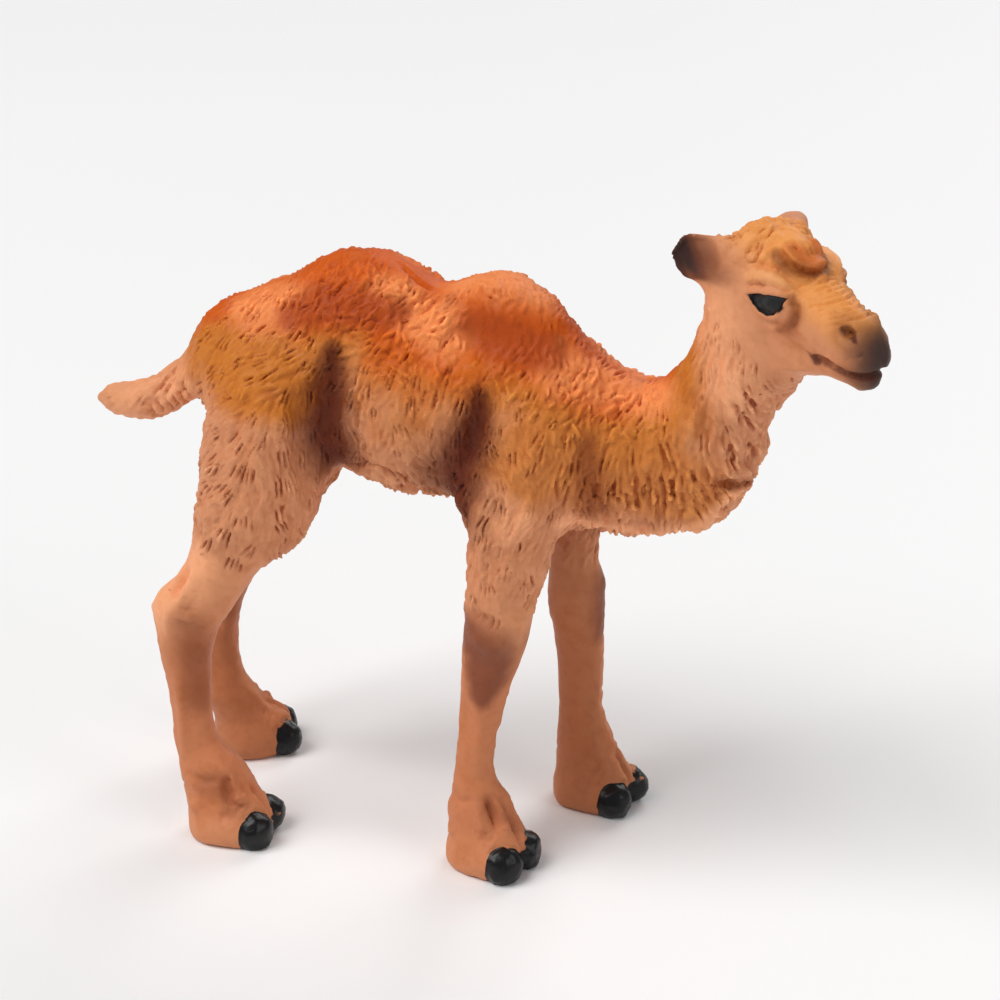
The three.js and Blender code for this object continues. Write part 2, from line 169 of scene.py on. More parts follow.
class Tree:
    """A material's node tree."""

    def __init__(self, material):
        material.use_nodes = True
        self.nodes = material.node_tree.nodes
        self.links = material.node_tree.links
        self.shader = self.nodes["Principled BSDF"]

    def plug(self, socket, value):
        if isinstance(value, Value):
            value = value.socket
        if isinstance(value, bpy.types.NodeSocket):
            self.links.new(value, socket)
        else:
            socket.default_value = value

    def node(self, kind, settings, *inputs, **named):
        """Any node: its settings first, then its inputs by place or by name."""
        made = self.nodes.new(kind)
        for name, value in settings.items():
            setattr(made, name, value)
        for socket, value in zip(made.inputs, inputs):
            self.plug(socket, value)
        for name, value in named.items():
            self.plug(made.inputs[name], value)
        return made

    def attribute(self, name):
        """A number stored on the mesh's vertices."""
        made = self.node("ShaderNodeAttribute", {"attribute_name": name})
        return Value(self, made.outputs["Fac"])

    def place(self):
        """Object coordinates in millimetres."""
        at = self.node("ShaderNodeTexCoord", {}).outputs["Object"]
        return self.node("ShaderNodeMapping", {}, Vector=at, Scale=Vector((1, 1, 1)) / MM).outputs[0]

    def noise(self, per_mm, detail):
        """Soft noise from 0 to 1, with that many waves in a millimetre."""
        made = self.node("ShaderNodeTexNoise", {}, Vector=self.place(), Scale=per_mm, Detail=detail)
        return Value(self, made.outputs["Fac"])

    def mixed(self, share, a, b, blend="MIX"):
        """Colour a where share is 0 and colour b where it is 1, or a multiplied by b."""
        made = self.node("ShaderNodeMix", {"data_type": "RGBA", "blend_type": blend, "clamp_factor": True})
        self.plug(made.inputs[0], share)
        self.plug(made.inputs[6], a)
        self.plug(made.inputs[7], b)
        return made.outputs[2]


def colour(red, green, blue):
    """A colour picked on a screen, from 0 to 255, as the linear one that a shader takes."""
    parts = [c / 255 for c in (red, green, blue)]
    return (*[c / 12.92 if c < 0.04 else ((c + 0.055) / 1.055) ** 2.4 for c in parts], 1.0)


# %% [markdown]
# The floor is a sheet of pale card, far wider than the picture, so its edges stay out of sight.


# %% Floor
FLOOR_HALF = 2.5  # m


def pale_floor():
    """The sheet of card under the figure."""
    material = bpy.data.materials.new("pale_floor")
    tree = Tree(material)
    cloud = tree.noise(0.004, detail=2.0)
    card = tree.mixed(cloud, colour(246, 246, 246), colour(250, 250, 250))
    tree.plug(tree.shader.inputs["Base Color"], card)
    tree.shader.inputs["Roughness"].default_value = 0.6
    shape = bmesh.new()
    bmesh.ops.create_grid(shape, x_segments=1, y_segments=1, size=FLOOR_HALF)
    mesh = bpy.data.meshes.new("floor")
    shape.to_mesh(mesh)
    shape.free()
    mesh.materials.append(material)
    floor = bpy.data.objects.new("floor", mesh)
    bpy.context.scene.collection.objects.link(floor)


pale_floor()
print("floor", 2 * FLOOR_HALF, "m wide")

# %% [markdown]
# ## A skin to sculpt on
#
# The solid is made of flat facets a millimetre or two wide. Its copy is merged, paired back into squares and
# subdivided, which rounds the facets off. A voxel remesh then gives even small squares everywhere, like fresh
# wax, so that a tool leaves the same mark wherever it is pressed.


# %% The fresh skin
VOXEL = 0.19 * MM


def finish_modifiers(piece):
    """Replaces the piece's mesh by what its modifiers make of it."""
    graph = bpy.context.evaluated_depsgraph_get()
    made = bpy.data.meshes.new_from_object(piece.evaluated_get(graph))
    piece.modifiers.clear()
    old = piece.data
    piece.data = made
    bpy.data.meshes.remove(old)


def fresh_skin():
    """A rounded copy of the solid, with small even squares."""
    shape = bmesh.new()
    shape.from_mesh(node.data)
    bmesh.ops.remove_doubles(shape, verts=shape.verts, dist=0.001 * MM)
    bmesh.ops.join_triangles(
        shape, faces=shape.faces, angle_face_threshold=math.pi, angle_shape_threshold=math.pi
    )
    mesh = bpy.data.meshes.new("calf")
    shape.to_mesh(mesh)
    shape.free()
    piece = bpy.data.objects.new("calf", mesh)
    bpy.context.scene.collection.objects.link(piece)
    rounding = piece.modifiers.new("rounding", "SUBSURF")
    rounding.levels = rounding.render_levels = 2
    evening = piece.modifiers.new("evening", "REMESH")
    evening.mode = "VOXEL"
    evening.voxel_size = VOXEL
    soften = piece.modifiers.new("soften", "SMOOTH")
    soften.factor = 0.5
    soften.iterations = 4
    finish_modifiers(piece)
    return piece


calf = fresh_skin()
print("fresh skin:", len(calf.data.vertices), "points")

# %% [markdown]
# ## Tools
#
# Everything below works on arrays: where each point of the skin is and which way it faces. A tool only adds
# to `lift`, the height in millimetres by which each point will move along its own normal. One call of
# `press` then moves them all at once. Places are given in the drawing's frame, in millimetres. The soles
# stand flat on the floor, so they never move.


# %% Skin as arrays
SOLE_HEIGHT = 0.02


def read_skin():
    """Places, in the drawing's frame, and normals."""
    count = len(calf.data.vertices)
    places = np.empty(count * 3, np.float32)
    normals = np.empty(count * 3, np.float32)
    calf.data.vertices.foreach_get("co", places)
    calf.data.vertices.foreach_get("normal", normals)
    return places.reshape(-1, 3) / MM - DRAWN_AT, normals.reshape(-1, 3).astype(float)


def press():
    """Moves the skin by lift and starts again with a new one."""
    global skin, normals, lift
    moved = skin + normals * lift[:, None]
    on_sole = skin[:, 2] < SOLE_HEIGHT
    moved[on_sole] = skin[on_sole]
    moved[:, 2] = np.maximum(moved[:, 2], 0.0)
    calf.data.vertices.foreach_set("co", ((moved + DRAWN_AT) * MM).astype(np.float32).ravel())
    calf.data.update()
    skin, normals = read_skin()
    lift = np.zeros(len(skin))


def smoothstep(low, high, value):
    """0 at low, 1 at high, and smooth between them. Low may be the larger of the two."""
    t = np.clip((value - low) / (high - low), 0, 1)
    return t * t * (3 - 2 * t)


def through(points, spans=8):
    """A smooth curve through rows of numbers, as many short straight lines."""
    p = np.array(points, float)
    p = np.vstack([2 * p[0] - p[1], p, 2 * p[-1] - p[-2]])
    t = np.linspace(0, 1, spans, endpoint=False)[:, None]
    pieces = [
        b + 0.5 * t * (c - a + t * (2 * a - 5 * b + 4 * c - d + t * (3 * (b - c) + d - a)))
        for a, b, c, d in zip(p, p[1:], p[2:], p[3:])
    ]
    return np.vstack([*pieces, p[-2:-1]])


def near(path, reach):
    """The points within reach of a path: their numbers, their distance, and how far along it from 0 to 1."""
    low, high = path.min(0) - reach, path.max(0) + reach
    index = np.flatnonzero(np.all((skin > low) & (skin < high), axis=1))
    at = skin[index]
    best = np.full(len(index), 1e9)
    along = np.zeros(len(index))
    last = max(len(path) - 1, 1)
    for n, (a, b) in enumerate(zip(path, path[1:])):
        line = b - a
        t = np.clip((at - a) @ line / max(line @ line, 1e-12), 0, 1)
        gap = np.linalg.norm(at - a - t[:, None] * line, axis=1)
        closer = gap < best
        best[closer] = gap[closer]
        along[closer] = (n + t[closer]) / last
    inside = best < reach
    return index[inside], best[inside], along[inside]


def stroke(points, width, height, ends=0.2):
    """A soft ridge, or a groove if height is negative, along a curve laid on the skin, fading at its ends."""
    found = [finder.find(p)[1] for p in through(points).tolist()]
    index, gap, along = near(skin[found], width)
    facing = normals[index] @ normals[found].mean(0) > 0
    fade = np.clip(np.minimum(along, 1 - along) / ends, 0, 1)
    lift[index] += facing * height * (1 - (gap / width) ** 2) ** 2 * fade


def grain(places, seed=0):
    """Smooth noise from -1 to 1: random numbers at whole places, blended between."""
    base = np.floor(places).astype(np.int64)
    part = places - base
    part = part * part * (3 - 2 * part)
    total = np.zeros(len(places))
    for corner in np.ndindex(2, 2, 2):
        a, b, c = (base + corner).T
        mixed = (a * 73856093 ^ b * 19349663 ^ c * 83492791 ^ seed * 668265263) & 0xFFFFFFFF
        mixed = ((mixed ^ (mixed >> 15)) * 2246822519) & 0xFFFFFFFF
        mixed = ((mixed ^ (mixed >> 13)) * 3266489917) & 0xFFFFFFFF
        weight = np.prod(np.where(corner, part, 1 - part), axis=1)
        total += weight * ((mixed ^ (mixed >> 16)) & 0xFFFF) / 32767.5
    return total - 1


def make_finder():
    """A tree that finds the points of the skin near a place."""
    tree = kdtree.KDTree(len(skin))
    for k, place in enumerate(skin.tolist()):
        tree.insert(place, k)
    tree.balance()
    return tree


skin, normals = read_skin()
lift = np.zeros(len(skin))
finder = make_finder()
print("skin spans", skin.min(0).round(1), "to", skin.max(0).round(1))

# %% [markdown]
# ## The head
#
# The head has its own frame: x runs to the nose, y to the calf's left and z to the crown. Both sides are
# alike there, so each tool stroke is given once, for the left, and made twice. The ears are leaves of plastic
# with a thick rim; on the solid they are plain, so the hollow is pressed in here.


# %% Head frame
HEAD_AT = np.array((28.9, -2.9, 69.0))


def turned(turn, lifted, roll):
    """Three axes, as columns, for angles in degrees."""
    turn, lifted, roll = (math.radians(a) for a in (turn, lifted, roll))
    aimed = Matrix.Rotation(turn, 3, "Z") @ Matrix.Rotation(-lifted, 3, "Y")
    return np.array(aimed @ Matrix.Rotation(roll, 3, "X"))


head_axes = turned(-40, -4, 4)
EARS = {  # root; turn, lift and roll
    -1: ((-1.0, -3.7, 3.3), (-140, 12, 0)),
    1: ((-1.1, 3.7, 3.7), (143, 0, 55)),
}


def in_head():
    """Every point of the skin in the head's frame."""
    return (skin - HEAD_AT) @ head_axes


def from_head(points, side=1):
    """Points of the head's frame, on its left (side 1) or right (-1), in the drawing's frame."""
    return (np.array(points, float) * (1, side, 1)) @ head_axes.T + HEAD_AT


def on_face(points, width, height, ends=0.2):
    """The same stroke on both sides of the face."""
    for side in (-1, 1):
        stroke(from_head(points, side), width, height, ends)


def in_ear(side):
    """Every point of the skin in an ear's frame: x to its tip, y into its hollow, z across its width."""
    root, angles = EARS[side]
    return (in_head() - root) @ turned(*angles) * (1, -side, 1)


def out_of_ear(side):
    """How squarely each point faces out of an ear's hollow, from -1 to 1."""
    return (normals @ head_axes @ turned(*EARS[side][1]))[:, 1] * -side


def sculpt_ears():
    """A deeper hollow, a thick rim around it and a rounder tip."""
    for side in (-1, 1):
        at = in_ear(side)
        inward = out_of_ear(side)
        here = (np.abs(at[:, 1]) < 3) & (at[:, 0] > -1)
        bowl = np.clip(1 - ((at[:, 0] - 4.3) / 3.3) ** 2 - (at[:, 2] / 2.5) ** 2, -1, 1)
        lift[here] -= (0.9 * np.clip(bowl, 0, 1) * smoothstep(0.1, 0.6, inward))[here]
        rim = np.exp(-(((bowl + 0.25) / 0.25) ** 2)) * smoothstep(-0.2, 0.5, inward)
        rim *= smoothstep(2.5, 4.5, at[:, 0])
        lift[here] += (0.28 * rim)[here]
        corner = np.exp(-((at[:, 0] - 6.2) ** 2 + (np.abs(at[:, 2]) - 2.6) ** 2) / 1.8)
        lift[here] += (0.3 * corner * smoothstep(0.8, 0.3, np.abs(inward)))[here]


sculpt_ears()
press()
print("ears done")

# %% [markdown]
# Each eye is a sunk ball under two lids, painted in gloss black. Its opening is a line drawn in a plane that
# lies on the side of the head, nearly straight above and deep below. How far each point is inside the line is
# kept, because the same number later says where the gloss goes.

# %% Eyes
EYE_AT = np.array((4.75, 4.4, 1.75))
EYE_LONG = np.array((0.955, -0.234, 0.182))
EYE_UP = np.array((-0.19, 0.0, 0.98))
EYE_HALF = 2.3


def eye_plane(side):
    """Places in the eye's own plane: along it from the rear corner (0) to the front one (1), up, and out."""
    at = in_head() * (1, side, 1) - EYE_AT
    along = at @ EYE_LONG
    return (along / EYE_HALF + 1) / 2, at @ EYE_UP, at @ np.cross(EYE_UP, EYE_LONG)


def from_eye(points):
    """Points of the eye's plane, as (share, up), in the head's frame."""
    return [EYE_AT + (2 * s - 1) * EYE_HALF * EYE_LONG + up * EYE_UP for s, up in points]


def eye_opening(share, up):
    """How far a place is inside the almond between the lids, in mm. Negative outside."""
    s = np.clip(share, 0, 1)
    top = 0.12 + 0.32 * np.sin(math.pi * s)
    bottom = np.interp(s, (0, 0.1, 0.22, 0.4, 0.6, 0.8, 1), (0, -0.9, -1.6, -2.05, -1.9, -1.15, 0))
    inside = np.minimum(top - up, (up - bottom) * 0.8)
    ends = np.minimum(share + 0.03, 1.05 - share) * 2 * EYE_HALF
    return np.minimum(inside, ends * 0.8)


def sculpt_eyes():
    """Lids round a sunk ball on both sides. Gives how far each point is inside an opening."""
    eye = np.full(len(skin), -1.0)
    for side in (-1, 1):
        share, up, out = eye_plane(side)
        close = (np.abs(out) < 3.8) & (np.abs(share - 0.5) < 1.2) & (np.abs(up) < 5)
        inside = np.where(close, eye_opening(share, up), -9.0)
        rim = np.exp(-(((inside + 0.22) / 0.2) ** 2))
        lift[:] += 0.22 * rim * close
        lift[:] -= 0.46 * smoothstep(-0.05, 0.25, inside)
        ball = 1 - ((share - 0.42) / 0.45) ** 2 - ((up + 0.7) / 1.6) ** 2
        lift[:] += 0.42 * np.clip(ball, 0, 1) * smoothstep(-0.05, 0.35, inside)
        eye = np.maximum(eye, inside)
    return eye


eye_depth = sculpt_eyes()
EYE_STROKES = [  # width, height, fade at the ends, and a path in the eye's plane
    (0.45, 0.26, 0.2, [(-0.08, 0.3), (0.3, 0.72), (0.7, 0.72), (1.08, 0.35)]),
    (0.36, -0.36, 0.2, [(-0.1, 0.9), (0.3, 1.3), (0.75, 1.25), (1.15, 0.7)]),
    (1.15, 0.55, 0.25, [(-0.05, 1.9), (0.33, 2.4), (0.65, 2.1), (0.95, 1.6), (1.3, 0.9)]),
    (0.6, -0.35, 0.3, [(-0.2, 3.2), (0.3, 3.7), (0.9, 3.3), (1.5, 2.2)]),
    (0.5, -0.45, 0.2, [(1.14, 0.1), (1.25, -0.6), (1.26, -1.5), (1.14, -2.6), (0.98, -3.4)]),
    (0.5, 0.2, 0.3, [(1.3, 0.3), (1.42, -0.8), (1.38, -2.0)]),
    (0.5, -0.2, 0.4, [(0.1, -2.0), (0.4, -2.8), (0.75, -2.6), (1.0, -1.7)]),
    (0.7, 0.22, 0.4, [(0.15, -3.1), (0.5, -3.7), (0.85, -3.3)]),
]
for width, height, ends, path in EYE_STROKES:
    on_face(from_eye(path), width, height, ends)
press()
print("eyes done")

# %% [markdown]
# The muzzle is cut like the lids are, with ridges and grooves: a comma for the nostril with a swollen rim, a
# deep mouth line that widens at its corner, full lips on both sides of it, and the edge of the jaw.

# %% Nostrils, lips and chin
on_face([(13.3, 2.3, 1.1), (14.1, 2.2, 0.95), (14.8, 2.05, 0.5)], 0.85, -1.1, 0.3)
on_face([(12.6, 2.2, 1.6), (13.9, 2.0, 1.9), (15.3, 1.6, 1.3)], 0.8, 0.30, 0.3)
on_face([(12.8, 2.4, 0.2), (14.2, 2.3, -0.4), (15.4, 1.9, -0.9)], 0.5, 0.24, 0.3)
on_face([(15.5, 1.9, -0.4), (15.9, 1.7, -1.0), (16.3, 1.4, -1.7)], 0.4, -0.25, 0.3)
stroke(from_head([(15.9, 0, 1.0), (16.8, 0, -0.6), (17.4, 0, -2.2), (17.4, 0, -3.0)]), 0.4, -0.15, 0.2)
MOUTH = [(9.8, 2.3, -3.6), (11.2, 2.2, -3.3), (12.7, 2.1, -3.5), (14.4, 2.0, -3.5)]
MOUTH += [(15.9, 1.5, -3.4), (16.9, 0.6, -3.2)]
on_face([*MOUTH, (17.0, 0.0, -3.2)], 0.55, -0.75, 0.02)
on_face([(9.9, 2.3, -3.8), (10.6, 2.3, -3.4), (11.4, 2.3, -3.2), (12.4, 2.2, -3.5)], 0.85, -0.65, 0.3)
on_face([(9.6, 2.4, -2.7), (11.6, 2.3, -2.6), (14.0, 2.2, -2.7), (16.2, 1.6, -2.6)], 0.6, 0.20, 0.3)
on_face([(10.4, 2.3, -4.4), (13.0, 2.1, -4.4), (15.6, 1.4, -4.3)], 0.5, 0.20, 0.3)
for x, z in ((14.0, -1.6), (14.7, -1.4), (15.3, -1.2)):
    on_face([(x, 2.4, z - 0.8), (x + 0.5, 2.3, z), (x + 1.0, 2.0, z + 0.5)], 0.3, -0.22, 0.4)
on_face([(3.4, 2.9, -6.8), (6.4, 2.6, -6.0), (9.7, 1.9, -4.9)], 0.8, 0.24, 0.3)
press()
print("muzzle done")

# %% [markdown]
# The forelock is one thick lock that falls over the brow, so it gets a deep fold under its edge and a few
# parting lines. Loose skin wrinkles across the bridge of the nose.

# %% Forelock and wrinkles
LOCK_TIP = (7.2, 0.1, 4.7)
LOCK_STROKES = [  # width, height, fade at the ends, and a path in the head's frame
    (0.6, -0.75, 0.12, [(3.7, 2.6, 6.5), (4.8, 2.7, 5.8), (5.8, 2.3, 4.9), (6.8, 1.4, 4.3), (7.8, 0.2, 3.8)]),
    (0.6, 0.35, 0.15, [(4.0, 2.0, 6.8), (5.0, 2.2, 6.2), (6.0, 1.8, 5.4), (6.9, 0.9, 4.9), (7.4, 0.0, 4.8)]),
    (0.35, -0.30, 0.3, [(4.6, 0.4, 7.3), (5.8, 0.3, 6.3), (6.8, 0.3, 5.2)]),
    (0.35, -0.28, 0.3, [(4.3, 1.2, 7.2), (5.4, 1.1, 6.4), (6.3, 0.9, 5.5)]),
    (0.3, -0.30, 0.2, [(5.4, 1.9, 6.2), (5.3, 1.2, 6.6), (4.5, 1.2, 6.9), (4.2, 1.8, 6.7), (4.8, 2.1, 6.3)]),
]
lift += 0.7 * smoothstep(1.7, 0.3, np.linalg.norm(in_head() - LOCK_TIP, axis=1))
press()
for width, height, ends, path in LOCK_STROKES:
    on_face(path, width, height, ends)


def sculpt_wrinkles(count=10):
    """Fine folds across the bridge of the nose, which wander, sweep back and fade out on the cheeks."""
    rng = np.random.default_rng(4)
    for n in range(count):
        x = 7.9 + n * 0.68
        half = 3.6 - 0.06 * n
        back = 1.2 + 1.5 * min(n / 4, 1)
        wander = rng.normal(0, 0.05, 9)
        points = [
            (x + wander[k] - back * a * a, half * a, 4.4 - 0.36 * (x - 7.6) - 1.6 * a * a)
            for k, a in enumerate(np.linspace(-1, 1, 9))
        ]
        width = 0.32 + 0.06 * rng.random()
        stroke(from_head(points), width, -0.26 - 0.12 * rng.random(), 0.15)


sculpt_wrinkles()
press()
print("head done")

# %% [markdown]
# ## The feet
#
# Each foot has two toes, and each toe ends in a big bulging nail. A groove parts the toes, small folds cross
# them above the nails, and two tendons run down the instep.


# %% Feet
FEET = {  # x, y and turn in degrees
    "right_hind": (-30.4, -10.55, 0),
    "left_hind": (-34.9, 8.45, 25),
    "right_fore": (0.1, -8.65, -21),
    "left_fore": (8.5, 7.75, -14),
}
NAIL_AT = np.array((4.7, 2.15, 1.7))
NAIL_RADII = np.array((2.2, 2.05, 2.2))


def foot_axes(foot):
    """Three axes of a foot, as columns."""
    return np.array(Matrix.Rotation(math.radians(FEET[foot][2]), 3, "Z"))


def in_foot(foot):
    """Every point of the skin in the foot's frame: x to the toes."""
    return (skin - (*FEET[foot][:2], 0)) @ foot_axes(foot)


def from_foot(foot, points):
    """Points of the foot's frame in the drawing's frame."""
    return np.array(points, float) @ foot_axes(foot).T + (*FEET[foot][:2], 0)


def nail_depth(foot):
    """How deep each point is inside the nearer nail of a foot, in mm. Negative outside."""
    at = in_foot(foot)
    mirrored = np.column_stack([at[:, 0], np.abs(at[:, 1]), at[:, 2]])
    depth = (1 - np.linalg.norm((mirrored - NAIL_AT) / NAIL_RADII, axis=1)) * NAIL_RADII.min()
    depth += 0.12 * grain(skin * 1.7, 50) + 0.05 * grain(skin * 4.0, 51)
    return np.where((at[:, 0] > 2.6) & (at[:, 0] < 9), depth, -9.0)


def sculpt_foot(foot):
    """Two nails with a groove round them, tendons, small folds and the cleft between the toes."""
    depth = nail_depth(foot)
    forward = smoothstep(3.2, 4.2, in_foot(foot)[:, 0])
    nail = smoothstep(-0.15, 0.2, depth) * forward
    lift[:] += nail * (0.22 + 0.16 * grain(skin * 0.9, 52) + 0.06 * grain(skin * 2.4, 53))
    lift[:] -= 0.34 * np.exp(-(((depth + 0.42) / 0.2) ** 2)) * forward
    for side in (-1, 1):
        tendon = [(0.8, side * 1.2, 9.2), (2.2, side * 1.3, 6.8), (3.8, side * 1.8, 4.6)]
        stroke(from_foot(foot, tendon), 0.8, 0.26, 0.3)
        for n in range(3):
            x, z = 3.9 - 0.75 * n, 4.4 + 0.45 * n
            fold = [(x - 0.5, side * 3.6, z - 1.4), (x, side * 2.2, z), (x - 0.3, side * 0.9, z - 0.3)]
            stroke(from_foot(foot, fold), 0.34, -0.18, 0.4)
    stroke(from_foot(foot, [(7.0, 0, 1.0), (5.6, 0, 3.2), (3.6, 0, 4.9), (1.8, 0, 6.4)]), 0.6, -0.5, 0.25)
    stroke(from_foot(foot, [(-3.4, -2.4, 6.6), (-3.6, 0, 6.2), (-3.4, 2.4, 6.6)]), 0.5, -0.14, 0.3)


for foot in FEET:
    sculpt_foot(foot)
press()
print("feet done")

# %% [markdown]
# Under thin skin a leg shows its bones and cords: the hock's cord behind its hollow, the round knee, the
# tendons along the shank and the folds at the fetlock. They are the outer side's ridges and grooves, given
# once for a hind leg and once for a fore leg. The far fore leg is straighter, so its forms are fainter.

# %% Joints and tendons
HOCK_FORMS = [  # width, height, and a path in the frame of a hind foot, with y outwards
    (1.3, 0.85, [(0.4, 1.9, 34.6), (-1.8, 1.6, 31.9), (-3.3, 1.5, 29.6), (-4.3, 1.7, 27.5),
        (-4.8, 1.7, 24.6)]),
    (1.4, -1.0, [(-2.0, 0.4, 34.4), (-3.3, 0.9, 31.6), (-4.1, 1.1, 29.8)]),
    (1.9, 0.60, [(-1.9, 1.9, 29.2), (-2.4, 1.8, 27.4)]),
    (1.8, -0.55, [(-1.6, 1.7, 25.6), (-1.8, 1.3, 21.0), (-1.9, 1.0, 15.0)]),
    (1.0, 0.45, [(-3.8, 1.0, 22.0), (-3.7, 0.9, 15.0), (-3.4, 1.2, 9.5)]),
    (0.9, -0.50, [(-3.4, 1.9, 8.4), (-1.0, 2.7, 7.7), (1.4, 2.2, 8.8)]),
    (0.9, -0.85, [(1.4, 1.9, 9.2), (1.7, 2.3, 7.0), (2.1, 2.7, 4.8)]),
    (1.2, 0.60, [(2.9, 2.4, 6.6), (3.3, 2.6, 5.4)]),
    (1.0, -0.45, [(2.6, 3.0, 4.4), (0.8, 3.6, 3.6)]),
    (1.6, 0.45, [(-2.2, 2.6, 5.4), (-2.4, 2.8, 3.4)]),
]
KNEE_FORMS = [  # the same in the frame of a fore foot
    (1.7, 0.65, [(-0.6, 2.4, 29.6), (1.6, 3.2, 29.2), (3.6, 2.2, 28.6), (4.6, 0.4, 28.0)]),
    (1.1, -0.60, [(-0.2, 2.6, 32.4), (2.0, 3.2, 31.9), (4.4, 2.0, 31.1)]),
    (1.5, -0.25, [(-0.6, 2.3, 26.4), (1.4, 3.0, 25.8), (3.6, 2.0, 25.2)]),
    (1.3, -0.45, [(-0.8, 2.2, 22.0), (-0.8, 2.2, 15.0)]),
    (1.2, 0.40, [(1.4, 2.0, 24.0), (1.4, 2.0, 12.0)]),
    (0.8, -0.50, [(-2.6, 1.9, 8.8), (-0.8, 2.7, 8.4), (1.4, 2.2, 9.2)]),
    (0.9, 0.60, [(1.4, 2.3, 8.8), (1.9, 2.7, 7.0), (2.7, 3.1, 5.2)]),
    (0.8, -0.95, [(1.9, 1.4, 9.8), (2.7, 1.6, 7.4), (3.8, 2.1, 5.2)]),
    (0.8, 0.65, [(2.6, 0.7, 9.2), (3.8, 0.9, 6.8), (4.9, 1.3, 5.0)]),
    (1.6, 0.40, [(-2.6, 2.6, 5.2), (-2.4, 2.8, 3.6)]),
]
for foot in FEET:
    outward = -1 if foot.startswith("right") else 1
    share = 0.25 if foot == "left_fore" else 1.0
    for width, height, path in HOCK_FORMS if foot.endswith("hind") else KNEE_FORMS:
        stroke(from_foot(foot, np.array(path) * (1, outward, 1)), width, share * height, 0.3)
low = smoothstep(40, 34, skin[:, 2]) * smoothstep(1, 3, skin[:, 2])
lift += low * (0.10 * grain(skin * 0.5, 54) + 0.06 * grain(skin * 1.3, 55))
for foot in FEET:
    at = in_foot(foot)
    front = smoothstep(1.6, 3.2, at[:, 0] + 0.35 * (at[:, 2] - 6))
    front = front * smoothstep(5, 6.5, at[:, 2]) * smoothstep(17, 13, at[:, 2])
    here = (np.abs(at[:, 1]) < 4) & (at[:, 0] < 7)
    lift += here * front * (0.13 * grain(skin * (1.1, 1.1, 1.5), 56) + 0.07 * grain(skin * 2.2, 57))
press()
print("legs done")

# %% [markdown]
# Where a leg joins the body the hide folds, and so it does under the humps, at the root of the neck and along
# the tail. These are broad, soft grooves, pressed in before the coat, which then runs through them. A small
# dish under the hind hump deepens the flank's fold.

# %% Folds of the body
FOLDS = [  # width, height, and a path on the right side; the left side gets its mirror image
    (0.7, -0.45, [(-10.0, -7.7, 60.4), (-10.4, -8.1, 59.6), (-10.7, -8.4, 58.6), (-10.2, -8.8, 57.7)]),
    (1.8, -0.60, [(-15.9, -7.4, 59.5), (-16.1, -7.9, 56.8), (-16.4, -8.3, 53.1), (-16.6, -8.2, 49.4)]),
    (1.8, -0.65, [(0.9, -8.2, 57.8), (0.3, -8.8, 55.0), (-0.5, -9.3, 51.5), (-0.5, -9.6, 48.2)]),
    (1.0, -0.55, [(11.6, -8.0, 50.0), (12.0, -7.9, 47.6), (12.2, -7.5, 45.7), (12.6, -6.9, 44.3)]),
    (0.6, 0.35, [(7.8, -9.8, 42.9), (8.5, -9.1, 44.1), (9.8, -8.2, 44.6), (11.0, -7.9, 45.8)]),
    (1.0, 0.40, [(-17.2, -8.2, 50.0), (-18.0, -8.3, 46.8), (-18.3, -9.8, 44.0), (-18.6, -10.3, 41.0)]),
    (0.35, 0.20, [(-21.2, -11.4, 53.6), (-21.1, -12.0, 51.6), (-20.9, -12.0, 50.2)]),
    (1.3, 0.65, [(25.6, -5.3, 50.6), (26.4, -4.9, 49.6), (27.6, -3.8, 49.2), (28.4, -2.6, 49.6)]),
    (0.6, -1.0, [(24.8, -5.4, 48.0), (25.9, -4.6, 47.4), (26.9, -3.9, 47.1), (27.9, -2.6, 47.1)]),
    (0.8, -0.50, [(-5.9, -8.0, 46.6), (-5.3, -8.1, 45.9)]),
    (0.5, -0.35, [(-36.6, -1.5, 53.6), (-37.5, -1.2, 52.4), (-38.7, -1.8, 51.0), (-39.3, -1.9, 49.8)]),
    (0.5, -0.35, [(-36.1, -1.6, 53.8), (-36.9, -1.5, 52.2), (-37.7, -1.9, 50.8), (-38.0, -1.9, 49.8)]),
    (0.45, -0.30, [(-35.0, -2.3, 53.7), (-35.6, -2.0, 52.2), (-36.4, -1.8, 51.2)]),
    (0.8, -0.40, [(-35.8, -1.6, 50.7), (-35.2, -1.6, 51.0)]),
    (0.35, -0.28, [(-40.3, -2.0, 48.8), (-39.9, -1.9, 47.9), (-39.4, -1.3, 47.0)]),
    (0.35, -0.28, [(-39.2, -2.0, 49.6), (-38.8, -1.9, 48.7), (-38.3, -1.3, 47.8)]),
    (0.35, -0.28, [(-38.2, -1.9, 50.1), (-37.8, -1.8, 49.2), (-37.3, -1.2, 48.3)]),
    (0.35, -0.28, [(-37.4, -1.8, 50.5), (-37.0, -1.7, 49.6), (-36.5, -1.1, 48.7)]),
    (0.35, -0.28, [(-36.6, -1.6, 51.0), (-36.2, -1.5, 50.1), (-35.7, -0.9, 49.2)]),
    (1.0, -0.60, [(-3.1, -9.0, 47.4), (-2.5, -9.2, 46.4)]),
]
for width, height, path in FOLDS:
    for side in (1, -1):
        stroke(np.array(path) * (1, side, 1), width, height, 0.25)
for side in (1, -1):
    dish = np.linalg.norm(skin - (-15.9, side * -7.6, 59.5), axis=1)
    lift -= 0.35 * smoothstep(1.5, 0.5, dish)
press()
print("folds done")

# %% [markdown]
# ## The coat
#
# A sculptor first decides which way the hair lies, and combs the whole figure in the mind before cutting.
# `COMB` does that: each row is a place on the right side, the direction of the hair there, the length of a
# cut, how crowded the cuts are, and how woolly the place is. Between the rows the values blend. The crest of
# wool along the humps ends below in a line: `CREST_Z` is its height at the places `CREST_X` along the body.

